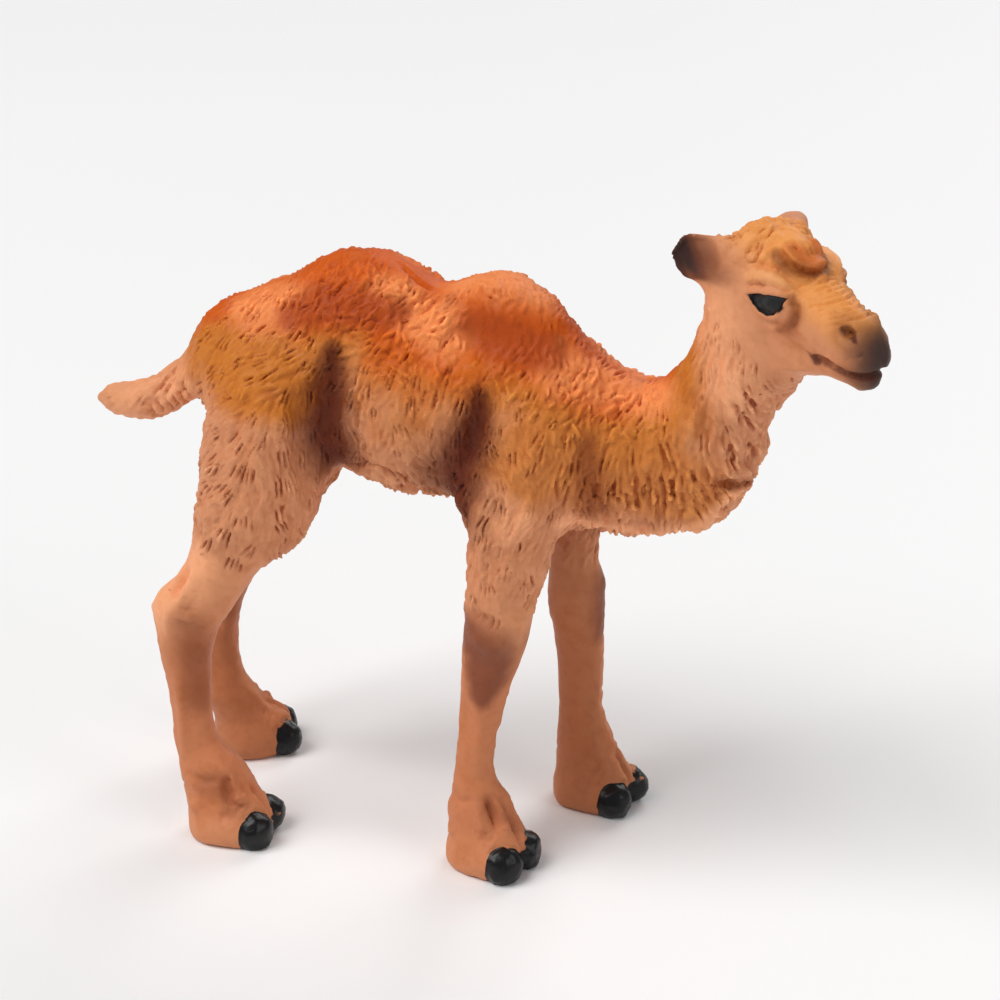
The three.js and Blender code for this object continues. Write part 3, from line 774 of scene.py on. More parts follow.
# %% Combing
COMB = np.array([
    # x, y, z, along x, y, z, cut length, crowding, wool
    # rump and tail
    (-24.6, -4.1, 62.8, -0.45, -0.64, -0.62, 1.6, 0.5, 0.30),
    (-21.7, -6.3, 61.7, -0.68, -0.35, -0.64, 1.7, 0.6, 0.25),
    (-25.8, -10.2, 56.6, -0.72, -0.14, -0.68, 1.7, 0.6, 0.20),
    (-32.2, -5.1, 56.9, -0.55, 0.14, -0.83, 1.5, 0.5, 0.15),
    (-32.6, -1.0, 60.8, -0.48, -0.65, -0.59, 1.4, 0.4, 0.25),
    (-37.9, -1.8, 51.5, -0.55, -0.11, -0.83, 1.6, 0.4, 0.12),
    (-43.5, -1.2, 48.8, -0.82, 0.15, -0.56, 1.2, 0.05, 0.04),
    # thigh, where the hair fans out
    (-28.5, -9.9, 53.6, -0.73, 0.46, -0.50, 1.6, 0.5, 0.12),
    (-24.8, -13.3, 49.0, -0.53, -0.17, -0.83, 1.7, 0.5, 0.08),
    (-28.1, -12.6, 45.0, -0.62, 0.39, -0.68, 1.8, 0.6, 0.08),
    (-27.0, -13.3, 43.0, -0.68, 0.23, -0.69, 1.8, 0.7, 0.08),
    (-22.4, -13.2, 48.5, 0.26, -0.13, -0.96, 2.0, 0.6, 0.10),
    (-23.6, -13.7, 44.8, -0.10, -0.01, -0.99, 1.9, 0.6, 0.08),
    (-20.1, -11.7, 41.8, 0.12, 0.42, -0.90, 2.0, 0.6, 0.08),
    (-19.2, -10.3, 45.5, 0.32, -0.19, -0.93, 1.6, 0.5, 0.08),
    (-23.0, -13.4, 40.9, -0.25, 0.10, -0.96, 1.8, 0.5, 0.05),
    # hind hump, flank and belly
    (-17.4, -5.1, 65.0, -0.08, -0.62, -0.78, 1.2, 0.15, 0.38),
    (-14.1, -3.0, 67.2, 0.11, -0.85, -0.51, 1.2, 0.1, 0.42),
    (-13.0, -6.3, 61.6, -0.62, -0.40, -0.67, 1.3, 0.25, 0.30),
    (-9.3, -6.4, 62.2, -0.56, -0.45, -0.70, 1.3, 0.25, 0.38),
    (-5.0, -7.4, 60.6, -0.50, -0.50, -0.70, 1.3, 0.25, 0.38),
    (-8.3, -9.6, 56.2, -0.25, -0.20, -0.95, 1.4, 0.4, 0.30),
    (-8.3, -9.6, 53.8, 0.02, -0.13, -0.99, 1.6, 0.6, 0.14),
    (-4.1, -9.4, 56.1, -0.13, -0.30, -0.95, 1.7, 0.5, 0.18),
    (-6.6, -9.2, 48.8, 0.09, 0.32, -0.94, 1.8, 0.35, 0.24),
    (-12.8, -8.8, 50.3, 0.14, 0.18, -0.97, 1.6, 0.4, 0.20),
    (-10.7, -8.9, 49.4, -0.03, 0.34, -0.94, 1.8, 0.5, 0.18),
    (-2.8, -9.7, 49.5, 0.04, 0.04, -1.00, 1.5, 0.5, 0.20),
    # front hump, smooth below its crest
    (-0.8, -1.7, 66.0, 0.12, -0.96, -0.26, 1.2, 0.1, 0.42),
    (1.2, -4.8, 62.1, -0.09, -0.17, -0.98, 1.2, 0.1, 0.10),
    (5.7, -3.6, 62.7, -0.05, -0.57, -0.82, 1.2, 0.1, 0.14),
    (6.5, -1.4, 63.4, -0.13, -0.98, -0.16, 1.2, 0.15, 0.36),
    # shoulder and neck
    (5.5, -6.8, 58.6, -0.36, -0.83, -0.43, 1.6, 0.3, 0.34),
    (11.2, -3.9, 57.7, -0.33, -0.89, -0.31, 1.8, 0.35, 0.36),
    (15.2, -2.1, 56.5, -0.25, -0.92, -0.30, 1.8, 0.4, 0.34),
    (9.0, -7.6, 55.4, -0.42, -0.62, -0.66, 1.6, 0.3, 0.36),
    (14.0, -6.3, 54.6, -0.34, -0.62, -0.70, 1.6, 0.3, 0.32),
    (21.6, -4.7, 59.6, -0.43, -0.06, -0.90, 1.6, 0.2, 0.14),
    (22.0, -6.6, 53.7, 0.00, -0.13, -0.99, 2.2, 0.35, 0.12),
    (23.6, -5.3, 63.8, -0.14, -0.00, -0.99, 1.2, 0.15, 0.10),
    (27.6, -6.1, 57.2, 0.29, 0.31, -0.90, 2.2, 0.3, 0.12),
    (30.3, -6.1, 59.6, 0.26, 0.52, -0.81, 1.4, 0.2, 0.10),
    # chest and bib
    (13.0, -7.8, 50.4, -0.06, -0.19, -0.98, 1.8, 0.5, 0.20),
    (7.0, -10.4, 52.0, -0.07, -0.20, -0.98, 1.6, 0.5, 0.20),
    (13.0, -7.4, 45.2, 0.05, 0.32, -0.95, 2.6, 0.45, 0.14),
    (19.5, -6.0, 46.2, -0.04, 0.34, -0.94, 3.0, 0.12, 0.14),
    (16.3, -6.8, 46.4, 0.11, 0.27, -0.96, 2.6, 0.2, 0.14),
    (23.9, -5.1, 46.6, 0.22, 0.43, -0.88, 2.8, 0.45, 0.14),
    (27.4, -4.3, 50.0, 0.14, 0.40, -0.90, 2.6, 0.45, 0.14),
    # upper foreleg
    (3.0, -11.1, 48.9, 0.08, -0.31, -0.95, 1.7, 0.55, 0.18),
    (5.0, -11.6, 43.2, -0.28, -0.08, -0.96, 1.8, 0.5, 0.16),
    (0.6, -11.2, 43.1, -0.39, 0.26, -0.88, 1.7, 0.6, 0.16),
    (3.0, -11.7, 36.5, -0.12, 0.07, -0.99, 1.5, 0.4, 0.12),
    (7.4, -10.3, 43.5, -0.25, -0.11, -0.96, 1.7, 0.4, 0.12),
])


def combed(places, normals):
    """Direction of the hair, laid flat on the skin, and cut length, crowding and wool."""
    side = np.where(places[:, 1] > 0, 1, -1)[:, None]
    at = places * np.hstack([np.ones_like(side), -side, np.ones_like(side)])
    total = np.zeros((len(places), 6))
    weights = np.zeros((len(places), 1))
    for row in COMB:
        weight = 1 / (((at - row[:3]) ** 2).sum(1) + 1.5)[:, None] ** 2
        total += weight * row[3:]
        weights += weight
    total /= weights
    flow = total[:, :3] * np.hstack([np.ones_like(side), -side, np.ones_like(side)])
    return laid_flat(flow, normals), total[:, 3], total[:, 4], total[:, 5]


def laid_flat(vectors, normals):
    """Directions turned down into the skin, with a length of 1."""
    flat = vectors - (vectors * normals).sum(1)[:, None] * normals
    return flat / np.maximum(np.linalg.norm(flat, axis=1), 1e-6)[:, None]


def coat_here(places):
    """1 where there is a coat, 0 on bare skin: the shanks, the face and the ears."""
    x, y, z = places.T
    hind = smoothstep(34, 40, z + 0.2 * (x + 24)) * (x < -14)
    fore = smoothstep(31, 38, z) * (x >= -14)
    head = (places - HEAD_AT) @ head_axes
    face = smoothstep(0.5, 3.5, head[:, 0]) * smoothstep(-9.5, -6.5, head[:, 2])
    skull = smoothstep(7.5, 5.5, np.linalg.norm(head, axis=1))
    around = np.linalg.norm(head, axis=1)
    ear = (np.abs(head[:, 1]) > 4.2) * (head[:, 2] > -1.5) * (head[:, 0] < 2) * (around < 13)
    drop = np.interp(x, CREST_X, CREST_Z) - z
    smooth = 0.85 * smoothstep(-0.3, 0.3, drop) * smoothstep(7.5, 5.0, drop)
    smooth = smooth * smoothstep(-4.5, -2, x) * smoothstep(9.5, 7, x)
    strip = smoothstep(2.6, 1.9, np.linalg.norm((places - (-8.2, 0, 66.2)) * (0.35, 1, 0.6), axis=1))
    bare = np.clip(face + skull + ear + smooth + strip, 0, 1)
    return np.clip((hind + fore) * (1 - bare), 0, 1) * (1 - 0.8 * smoothstep(-40, -43, x))


CREST_X = (-19.0, -17.5, -14.1, -9.5, -6.0, -2.5, 1.0, 4.0, 6.1, 7.9, 9.5)
CREST_Z = (64.6, 65.9, 66.2, 64.9, 64.4, 64.9, 65.2, 64.6, 63.3, 61.3, 60.0)
flow, cut_length, crowding, woolly = combed(skin, normals)
coat = coat_here(skin)
crown = smoothstep(6.5, 3.5, np.linalg.norm((in_head() - (1.2, 0, 5.2)) * (0.9, 1, 1), axis=1))
print("combed:", round(float((coat > 0.5).mean()) * 100), "% of the skin has a coat")


# %% [markdown]
# Two textures lie under the cuts. Wool is a noise whose sign is dropped, so each zero crossing turns into a
# crease between rounded curls. Strands are a noise smeared along the hair, as a comb smears wet paint.


# %% Wool and strands
def smeared(per_mm, length, seed, way, steps=9):
    """Noise smeared along a way, with a spread of 1."""
    at = np.linspace(-length / 2, length / 2, steps)
    total = sum(grain((skin + way * t) * per_mm, seed) for t in at)
    return (total - total.mean()) / total.std()


def swirled(amount, per_mm, seed):
    """The hair's direction, turned to and fro in the skin by a slow noise."""
    turn = (amount * grain(skin * per_mm, seed))[:, None]
    return flow * np.cos(turn) + np.cross(normals, flow) * np.sin(turn)


def curls(per_mm, seed):
    """Rounded curls between creases: about 0 in a crease and 1 on a curl."""
    bend = np.column_stack([grain(skin * per_mm * 0.8, seed + k) for k in (1, 2, 3)])
    return np.minimum(np.abs(grain(skin * per_mm + 0.6 * bend, seed)) * 2.6, 1.0)


relief = np.zeros(len(skin))
x, y, z = skin.T
crest = smoothstep(-0.5, 0.4, z - np.interp(x, CREST_X, CREST_Z))
crest = crest * smoothstep(-20, -18, x) * smoothstep(10, 8.5, x)
ropes = np.minimum(np.abs(smeared(1.0, 2.4, 31, swirled(0.6, 0.25, 30))) * 1.3, 1.0) - 0.5
small_ropes = np.minimum(np.abs(smeared(1.6, 1.2, 32, swirled(1.5, 0.45, 33))) * 1.3, 1.0) - 0.5
crest_wool = 0.7 * small_ropes + 0.35 * (curls(1.0, 1) - 0.5)
wool = np.where(crest > 0.5, crest_wool, 0.8 * ropes + 0.35 * small_ropes)
wool *= 1.0 + 0.6 * grain(skin * 0.28, 35)
waves = smeared(0.5, 3.0, 36, flow)
strands = smeared(1.3, 3.0, 9, swirled(0.5, 0.3, 34))
fine = smeared(2.4, 2.0, 10, flow)
strand_height = 0.07 * np.clip(strands, -2, 2) - 0.10 * smoothstep(-0.7, -1.7, strands) + 0.035 * fine
strand_height *= 1 + 0.8 * np.clip(cut_length - 1.6, 0, 1.2)
lumps = smoothstep(49.5, 46.5, z) * smoothstep(-17, -14, x) * smoothstep(-0.5, -2.5, x)
texture = coat * ((0.75 * woolly + 0.05 * crest) * wool + (1 - 1.5 * woolly) * strand_height + 0.11 * waves)
wedge = smoothstep(3.4, 2.2, np.linalg.norm((in_head() - (5.6, -0.2, 5.8)) * (0.9, 1, 1), axis=1))
crown_wool = 0.34 * crown * (1 - 0.85 * wedge) * (curls(1.0, 7) - 0.5)
texture += crown_wool + 0.8 * coat * lumps * (curls(0.42, 40) - 0.6)
trimmed = 1 - 0.6 * smoothstep(4.0, 1.0, np.abs(y)) * smoothstep(52, 56, z) * smoothstep(25, 20, x)
texture *= trimmed
lift += texture + coat * (0.12 * grain(skin * 0.35, 20) + 0.15 * crest)
relief += 0.5 * texture
press()
finder = make_finder()
parting = [(-11.4, -0.2, 67.6), (-9.5, -1.3, 66.5), (-8.3, -1.7, 65.8), (-6.8, -1.8, 64.9)]
parting.append((-5.0, -2.4, 64.8))
stroke(parting, 0.35, -0.45)
stroke(np.array(parting) + (0.2, 0.6, 0.3), 0.6, 0.15)
press()
print("wool and strands:", round(float(relief.min()), 2), "to", round(float(relief.max()), 2), "mm")

# %% [markdown]
# Hair in wax is not hairs but tufts: short wedges that rise from root to tip and end in a small step. They
# are laid one at a time, in a random order, along the combed direction, each where there is still room. Where
# the coat is woolly they are higher and swirl.


# %% Tufts
def neighbours(taken, cell):
    """What has been kept in a cell of a grid and in the 26 cells around it."""
    return [
        other
        for step in np.ndindex(3, 3, 3)
        for other in taken.get(tuple(c + d - 1 for c, d in zip(cell, step)), ())
    ]


def lay_tufts(seed, tries):
    """Tufts as rows of centre, normal, direction, half length, half width, height and sideways sway."""
    rng = np.random.default_rng(seed)
    chosen = rng.permutation(len(skin))[:tries]
    chosen = chosen[coat[chosen] * (1 - 0.8 * crown[chosen]) > rng.random(tries)]
    turn = (0.3 + 1.7 * woolly) * grain(skin * 0.45, 37)
    ways = flow * np.cos(turn)[:, None] + np.cross(normals, flow) * np.sin(turn)[:, None]
    taken = {}
    tufts = []
    for k in chosen:
        centre, way = skin[k], ways[k]
        across = np.cross(normals[k], way)
        wool = min(woolly[k] / 0.36, 1)
        width = (0.27 + 0.05 * wool + 0.04 * (cut_length[k] - 1.6)) * (0.75 + 0.5 * rng.random())
        half = ((1 - wool) * 0.62 * cut_length[k] + wool * 1.1) * (0.7 + 0.6 * rng.random())
        cell = tuple((centre // 1.5).astype(int))
        around = neighbours(taken, cell)
        if around:
            away = np.array(around) - centre
            beside = away @ across / ((1.75 + 0.5 * wool) * width)
            if np.any(beside**2 + (away @ way / (1.2 * half)) ** 2 < 1):
                continue
        taken.setdefault(cell, []).append(centre)
        height = (0.08 + 0.20 * wool + 0.08 * max(cut_length[k] - 1.7, 0)) * (0.5 + rng.random()) * trimmed[k]
        sway = wool * rng.normal(0, 0.22)
        tufts.append((centre, normals[k], way, half, width, height, sway))
    return tufts


def raise_tufts(tufts):
    """Lifts each tuft as a wedge with a round back. Where two meet, the higher one stays."""
    for centre, normal, way, half, width, height, sway in tufts:
        index = np.fromiter((k for _, k, _ in finder.find_range(centre, half + 0.3)), int)
        away = skin[index] - centre
        down = away @ way / half
        across = (away @ np.cross(normal, way) + sway * np.sin(math.pi * down)) / width
        facing = normals[index] @ normal > 0.2
        body = np.clip(1 - down**2, 0, 1) ** 0.5
        round_back = np.clip(1 - (across / np.maximum(body, 0.25)) ** 2, 0, 1)
        change = facing * height * round_back * smoothstep(-1.0, -0.1, down) * smoothstep(1.0, 0.5, down)
        lift[index] = np.maximum(lift[index], change)
        relief[index] = np.maximum(relief[index], 0.9 * change - 0.10)


relief -= 0.10 * coat
finder = make_finder()
tufts = lay_tufts(seed=5, tries=110000)
raise_tufts(tufts)
press()
print(len(tufts), "tufts")

# %% [markdown]
# Each cut is a leaf-shaped groove with pointed ends, deepest near its root, and the wax it pushes aside
# stands up along its edges. A hand cuts in small groups of near parallel strokes and then moves on, so that
# is how they are placed: groups in a random order, each left out where it would cross a neighbour.


# %% Cuts
def place_groups(seed, tries):
    """Cuts as rows of centre, normal, direction, half length, width and depth."""
    rng = np.random.default_rng(seed)
    chosen = rng.permutation(len(skin))[:tries]
    keep = coat[chosen] * crowding[chosen] > rng.random(tries)
    taken = {}
    cuts = []
    for k in chosen[keep]:
        centre, normal = skin[k], normals[k]
        crowd = crowding[k]
        members = int(rng.integers(2, 5 + round(crowd)))
        gap = 0.52 + 0.16 * rng.random()
        length = cut_length[k] * (0.85 + 0.7 * rng.random())
        reach = 0.5 * gap * members + 0.16 + 0.3 * (1 - crowd)
        cell = tuple((centre // 4).astype(int))
        around = neighbours(taken, cell)
        swing = rng.normal(0, 0.22)
        way = flow[k] * math.cos(swing) + np.cross(normal, flow[k]) * math.sin(swing)
        across = np.cross(normal, way)
        if around:
            away = np.array([a[0] for a in around]) - centre
            wide = np.abs(away @ across) < reach + np.array([a[1] for a in around])
            close = np.abs(away @ way) < 0.5 * (length + np.array([a[2] for a in around])) + 0.1
            if np.any(wide & close):
                continue
        taken.setdefault(cell, []).append((centre, reach, length))
        for n in range(members):
            off = n - (members - 1) / 2
            at = centre + across * off * gap + way * rng.normal(0, 0.22) * length * 0.6
            index = finder.find(at)[1]
            fan = 0.09 * off + rng.normal(0, 0.07)
            own = laid_flat((way + across * fan)[None], normals[index][None])[0]
            half = length * (0.42 + 0.26 * rng.random())
            width = 0.14 + 0.05 * rng.random() + 0.04 * max(half - 0.8, 0)
            depth = (0.25 + 0.9 * crowd) * (0.7 + 0.6 * rng.random())
            cuts.append((skin[index], normals[index], own, half, width, depth))
    return cuts


def cut_coat(cuts, deepest):
    """Presses in every cut and lifts its edges. Where cuts cross, they add up."""
    for centre, normal, way, half, width, depth in cuts:
        index = np.fromiter((k for _, k, _ in finder.find_range(centre, half * 1.1 + 0.3)), int)
        if not len(index):
            continue
        away = skin[index] - centre
        down = away @ way / half
        across = away @ np.cross(normal, way) / width
        facing = normals[index] @ normal > 0.2
        body = np.clip(1 - down**2, 0, 1) ** 0.7
        groove = np.clip(1 - (across / np.maximum(body, 0.25)) ** 2, 0, 1) ** 1.2 * body * (1 - 0.35 * down)
        edge = np.exp(-(((np.abs(across) - 1.45) / 0.45) ** 2)) * body
        change = facing * depth * deepest * (0.42 * edge - groove)
        lift[index] += change
        relief[index] += change


finder = make_finder()
cuts = place_groups(seed=11, tries=70000)
cut_coat(cuts, 0.34)
press()
print(len(cuts), "cuts")

# %% [markdown]
# The bib's long locks are parted by deep cuts, each drawn on its own, with a soft swelling on both sides. The
# bib's lower edge, its hem, is made uneven by a slow noise, because long hair doesn't end in a line.

# %% The deep cuts of the bib and the neck
HEM_REACH = 2.2
DEEP_CUTS = [  # width, depth, and a path on the right side
    (0.50, 0.55, [(27.2, -6.5, 59.2), (27.8, -6.1, 58.0), (28.4, -5.6, 57.0), (28.9, -4.6, 55.5)]),
    (0.42, 0.48, [(26.2, -6.4, 58.0), (26.8, -6.1, 56.8), (27.0, -5.8, 55.8), (26.8, -5.6, 54.4)]),
    (0.42, 0.45, [(27.5, -5.7, 56.1), (28.0, -5.0, 54.7), (28.4, -4.2, 53.7)]),
    (0.50, 0.55, [(16.3, -6.8, 48.9), (16.5, -6.5, 46.6), (16.5, -5.2, 43.4)]),
    (0.45, 0.50, [(17.7, -6.6, 49.2), (17.9, -6.3, 46.7), (17.8, -4.6, 42.8)]),
    (0.45, 0.50, [(18.5, -6.5, 48.0), (18.6, -6.1, 46.5), (18.5, -4.7, 43.4)]),
    (0.50, 0.60, [(19.3, -6.5, 49.0), (19.4, -6.0, 46.5), (19.4, -4.1, 42.6)]),
    (0.50, 0.55, [(20.2, -6.5, 48.5), (20.3, -6.1, 47.1), (20.3, -4.7, 43.8)]),
    (0.45, 0.50, [(21.3, -5.8, 46.8), (21.4, -5.2, 45.2), (21.4, -4.3, 43.0)]),
    (0.45, 0.45, [(15.0, -6.6, 47.4), (15.2, -6.2, 45.6), (15.2, -5.4, 43.8)]),
    (0.50, 0.60, [(23.3, -5.5, 47.2), (23.6, -4.9, 46.1), (23.9, -4.4, 45.0)]),
    (0.50, 0.60, [(24.3, -5.2, 47.4), (24.7, -4.7, 46.5), (25.1, -4.2, 45.2)]),
    (0.50, 0.50, [(22.0, -6.4, 50.0), (22.5, -6.2, 48.8), (22.8, -5.9, 47.8)]),
    (0.50, 0.45, [(14.0, -7.2, 48.0), (14.4, -7.0, 46.4), (14.6, -6.4, 45.0)]),
    (0.50, 0.50, [(26.0, -5.5, 52.6), (26.3, -5.1, 51.4), (26.4, -4.8, 50.4)]),
    (0.55, 0.55, [(27.8, -4.1, 52.6), (28.1, -3.5, 51.4), (28.2, -3.0, 50.2)]),
    (0.42, 0.45, [(8.6, -9.6, 48.6), (8.7, -9.4, 47.0), (8.7, -9.3, 45.6)]),
]
HEM = [  # the bib's lower edge, on the right side
    (8.8, -8.4, 43.1), (11.3, -5.6, 41.6), (16.3, -3.2, 40.6),
    (20.7, -3.2, 41.2), (25.0, -3.8, 43.7), (27.6, -3.2, 46.0),
]
finder = make_finder()
for width, depth, path in DEEP_CUTS:
    for side in (1, -1):
        before = lift.copy()
        stroke(np.array(path) * (1, side, 1), 2.1 * width, 0.20, 0.3)
        stroke(np.array(path) * (1, side, 1), width, -depth, 0.25)
        relief += 0.7 * (lift - before)
for side in (1, -1):
    index, gap, _ = near(through(HEM) * (1, side, 1), HEM_REACH)
    uneven = 0.5 * grain(skin[index] * 0.6, 60) + 0.1 * grain(skin[index] * 1.5, 61)
    lift[index] += (1 - gap / HEM_REACH) * uneven
press()
print(len(DEEP_CUTS), "deep cuts on each side")

# %% [markdown]
# ## Where the paint goes
#
# The painter first sprays soft tints: rust along the back, ochre around it and dark grey on the muzzle. Some
# sprays
# are painted light and shade: maroon painted shade in the hollows and creases, and pale painted highlights
# where light falls. A spray is a path of stations, each a place and a radius, and it fades from its middle
# outwards. Each is stored on the points of the mesh as a number from 0 to 1, which the paint reads.


# %% Sprays
def spray(paths, both_sides=False):
    """1 in the middle of a path, 0 at its radius, for each point of the skin."""
    paint = np.zeros(len(skin))
    for stations in paths:
        for side in (1, -1) if both_sides else (1,):
            path = through(stations) * (1, side, 1, 1)
            index, gap, along = near(path[:, :3], path[:, 3].max())
            radius = np.interp(along, np.linspace(0, 1, len(path)), path[:, 3])
            paint[index] = np.maximum(paint[index], 1 - gap / radius)
    return paint


def store(name, values):
    """Keeps a number on every point of the mesh, for the shader."""
    layer = calf.data.attributes.new(name, "FLOAT", "POINT")
    layer.data.foreach_set("value", np.asarray(values, np.float32))


def on_head(stations, side=1):
    """Stations of the head's frame in the drawing's frame."""
    stations = np.array(stations, float)
    return np.column_stack([from_head(stations[:, :3], side), stations[:, 3]])


def on_both(*paths):
    """A spray along paths of the head's frame, given for its left, on both of its sides."""
    return spray([on_head(path, side) for path in paths for side in (-1, 1)])


def by_eye(points, radii):
    """Stations from points of the eye's plane and their radii, in the head's frame."""
    return [(*place, radius) for place, radius in zip(from_eye(points), radii)]


store("relief", relief)
store("coat", coat)
store("eye", eye_depth)
print("kept for the paint:", ", ".join(a.name for a in calf.data.attributes if a.data_type == "FLOAT"))

# %% [markdown]
# The skin now holds far more points than the shape needs. Thinning them by an edge collapse keeps points
# where the surface bends, so the cuts stay crisp and the plain shanks get large triangles.

# %% Thinning
MOST_TRIANGLES = 196_000
triangles = 2 * len(calf.data.polygons)
if triangles > MOST_TRIANGLES:
    thinning = calf.modifiers.new("thinning", "DECIMATE")
    thinning.ratio = MOST_TRIANGLES / triangles
    finish_modifiers(calf)
calf.data.shade_smooth()
print("thinned from", triangles, "to", sum(len(f.vertices) - 2 for f in calf.data.polygons), "triangles")

# %% [markdown]
# Every tint of the body is a row: its colour, how strong it gets, between which values of the spray it comes
# in, and where it is blown. They lie over each other in this order, from the legs' warm brown to the shanks.

# %% Tints of the body
skin, normals = read_skin()
SPINE = [
    (-31, 0, 60), (-23, 0, 63), (-13, 0, 67), (-6, 0, 64), (0, 0, 66),
    (7, 0, 63), (13, 0, 57), (20, 0, 57), (23.5, -1, 62),
]


def along_spine(reach):
    """Stations along the back, with a radius for each."""
    return [(*p, r) for p, r in zip(SPINE, reach)]


LAYERS = {  # colour, strength, where it starts and where it is full, paths
    "leg": ((202, 124, 82), 0.85, 0.0, 0.6, [
        [(-31, -10, 14, 17), (-31, -10, 15, 17)],
        [(2, -9, 13, 17), (2, -9, 14, 17)],
        [(8, -8, 14, 16), (9, -8, 14, 16)],
    ]),
    "ochre": ((206, 118, 28), 0.9, 0.0, 0.5, [
        along_spine([12, 15, 18, 19, 19, 20, 16, 10, 7]),
        [(-28, -8, 58, 7), (-24, -9.5, 56.5, 6.5), (-20, -9.5, 55.5, 5.5)],
        [(22, -2, 60, 5), (25, -3, 64, 4)],
    ]),
    "honey": ((208, 124, 52), 0.8, 0.0, 0.6, [
        [(3, -10, 47, 6), (8, -9, 50, 7), (15, -6, 49, 8), (21, -5, 47, 7)],
    ]),
    "rust": ((214, 92, 14), 0.95, 0.0, 0.5, [along_spine([5, 9, 13, 15, 14, 13, 9, 4, 2])]),
    "sunlit": ((252, 152, 88), 0.85, 0.1, 0.8, [
        [(-27, -3, 62.5, 5), (-25, -4, 62.5, 6.5), (-22, -5, 62.5, 5)],
        [(-11, -4, 65.5, 4), (-7, -5, 63, 5), (-4, -6, 62, 5)],
        [(-3, 0, 67, 6.5), (4, 0, 66.5, 6.5)],
        [(8, -5, 58.5, 5), (14, -3, 57, 5.5), (18, -4, 56, 4)],
    ]),
    "deep_rust": ((180, 73, 21), 0.9, 0.0, 0.75, [
        [(-21.5, -6, 62.5, 3), (-17.5, -6, 63.5, 4), (-13, -6.3, 64, 3.5), (-10, -5.6, 63.6, 2.5)],
        [(-1.5, -5, 63, 3), (2.5, -5.4, 61.5, 5), (6.5, -4.8, 60.5, 3.5)],
    ]),
    # Painted highlight: pale where light falls on the hock, the bib's hem, the upper foreleg, the tail and
    # the upper neck.
    "pale_highlight": ((252, 176, 128), 0.8, 0.0, 0.8, [
        [(-36, -10.5, 29, 6), (-31, -12.5, 35, 4)],
        [(x, y, z, 1.7) for x, y, z in HEM],
        [(1.5, -11.5, 46, 3.5), (4.5, -11.5, 43.5, 4)],
        [(-43, 0, 48.5, 4.5), (-40, 0, 49, 5), (-35, 0, 52, 5)],
        [(24, -5, 66, 7), (26, -6, 60, 5)],
    ]),
    # Painted shade: dark maroon in the flank's hollow and in the crease behind the elbow.
    "hollow": ((92, 24, 4), 0.95, 0.0, 0.95, [
        [(-16.3, -7.5, 59.2, 2.2), (-16.3, -7.8, 57.4, 3.4), (-16.7, -8.4, 54.1, 5.2),
            (-16.9, -8.6, 50.6, 5.8), (-16.2, -8.0, 47.6, 5.2)],
        [(0.2, -8.6, 55.8, 2.4), (-0.1, -8.8, 54, 4.0), (-0.8, -9.1, 51.4, 5.6), (-1.8, -9.4, 48, 6.8),
            (-3.0, -9.6, 45, 7.2)],
    ]),
    # Painted shade: brown in the creases of the chest and at the root of the neck.
    "crease": ((146, 70, 30), 0.75, 0.0, 0.9, [
        [(11.6, -8, 51.5, 2.5), (12, -8.2, 47.6, 3.4), (12.4, -7.2, 44.6, 3.4)],
        [(25, -5.3, 47.9, 1.3), (26.4, -4.4, 47.3, 1.5), (28, -2.6, 47.1, 1.3)],
    ]),
    # Painted shade: brown in the folds above the hind and fore feet.
    "fold": ((150, 84, 54), 0.6, 0.0, 1.0, [
        [(-31.2, -13, 7.4, 2.4), (-28.6, -13, 7, 2.4), (-28, -13.4, 4.6, 2)],
        [(1.4, -11, 8.6, 2), (3.4, -10.4, 7, 2), (4.4, -9.8, 5.4, 1.6)],
    ]),
    "knee": ((122, 62, 42), 0.85, 0.0, 0.7, [
        [(-1.6, -10.5, 29.4, 4.0), (1.2, -11.5, 28, 5.0), (1.4, -11.4, 24.8, 4.8), (0.8, -11, 22, 2.6)],
        [(8, -9, 28, 4), (10.5, -8, 27, 4), (11, -7, 23, 3)],
    ]),
    "shank": ((144, 78, 48), 0.75, 0.0, 1.0, [
        [(-32.6, -11.5, 27.5, 3.8), (-32.2, -11.4, 22.5, 4.2), (-32, -11.2, 17, 3)],
        [(-36.5, -8.4, 25, 3.6), (-36.2, -8.4, 19, 3)],
    ]),
}
for name, (_, _, _, _, paths) in LAYERS.items():
    store(name, spray(paths, both_sides=True))
# Painted shade: the sides of the legs that face the body are browner, as in the body's shade.
facing_in = -normals[:, 1] * np.sign(skin[:, 1])
store("inner", smoothstep(0.0, 0.8, facing_in) * smoothstep(43, 37, skin[:, 2]))
print(len(LAYERS), "tints on the body")

# %% [markdown]
# The head gets its own small sprays: a warm crown, a dark grey muzzle that fades into a brown nose, a painted
# shadow under the forelock, a painted highlight on the brow and a dark track below the corner of the eye. The
# mouth, the nostrils and the pupils are drawn with a fine brush. The nails are painted to their edge, so the
# mask is their shape.

# %% Tints of the head
store("crown", spray([on_head([(0, 0, 5, 6), (5, 0, 5, 5.5), (9, 0, 3.5, 5.5), (13, 0, 1.5, 4.5)])]))
store("muzzle", spray([on_head([(17.4, 0, -1.0, 4.9), (17.2, 0, -4.0, 4.4)])]))
store("nose", on_both([(13.6, 1.5, 0.6, 3.0), (16, 1, -1.2, 4.5), (15, 1.5, -4, 3.6)]))
# Painted shadow under the edge of the forelock.
lock_edge = [(3.6, 2.7, 5.6, 1.0), (5.4, 2.4, 4.7, 1.5), (7.0, 1.0, 4.3, 1.6), (7.6, 0, 4.3, 1.0)]
store("lock_shadow", on_both(lock_edge))
store("lock", on_both([(5.0, 1.6, 6.2, 1.4), (6.2, 0.8, 5.4, 1.9), (7.2, 0, 4.9, 1.8)]))
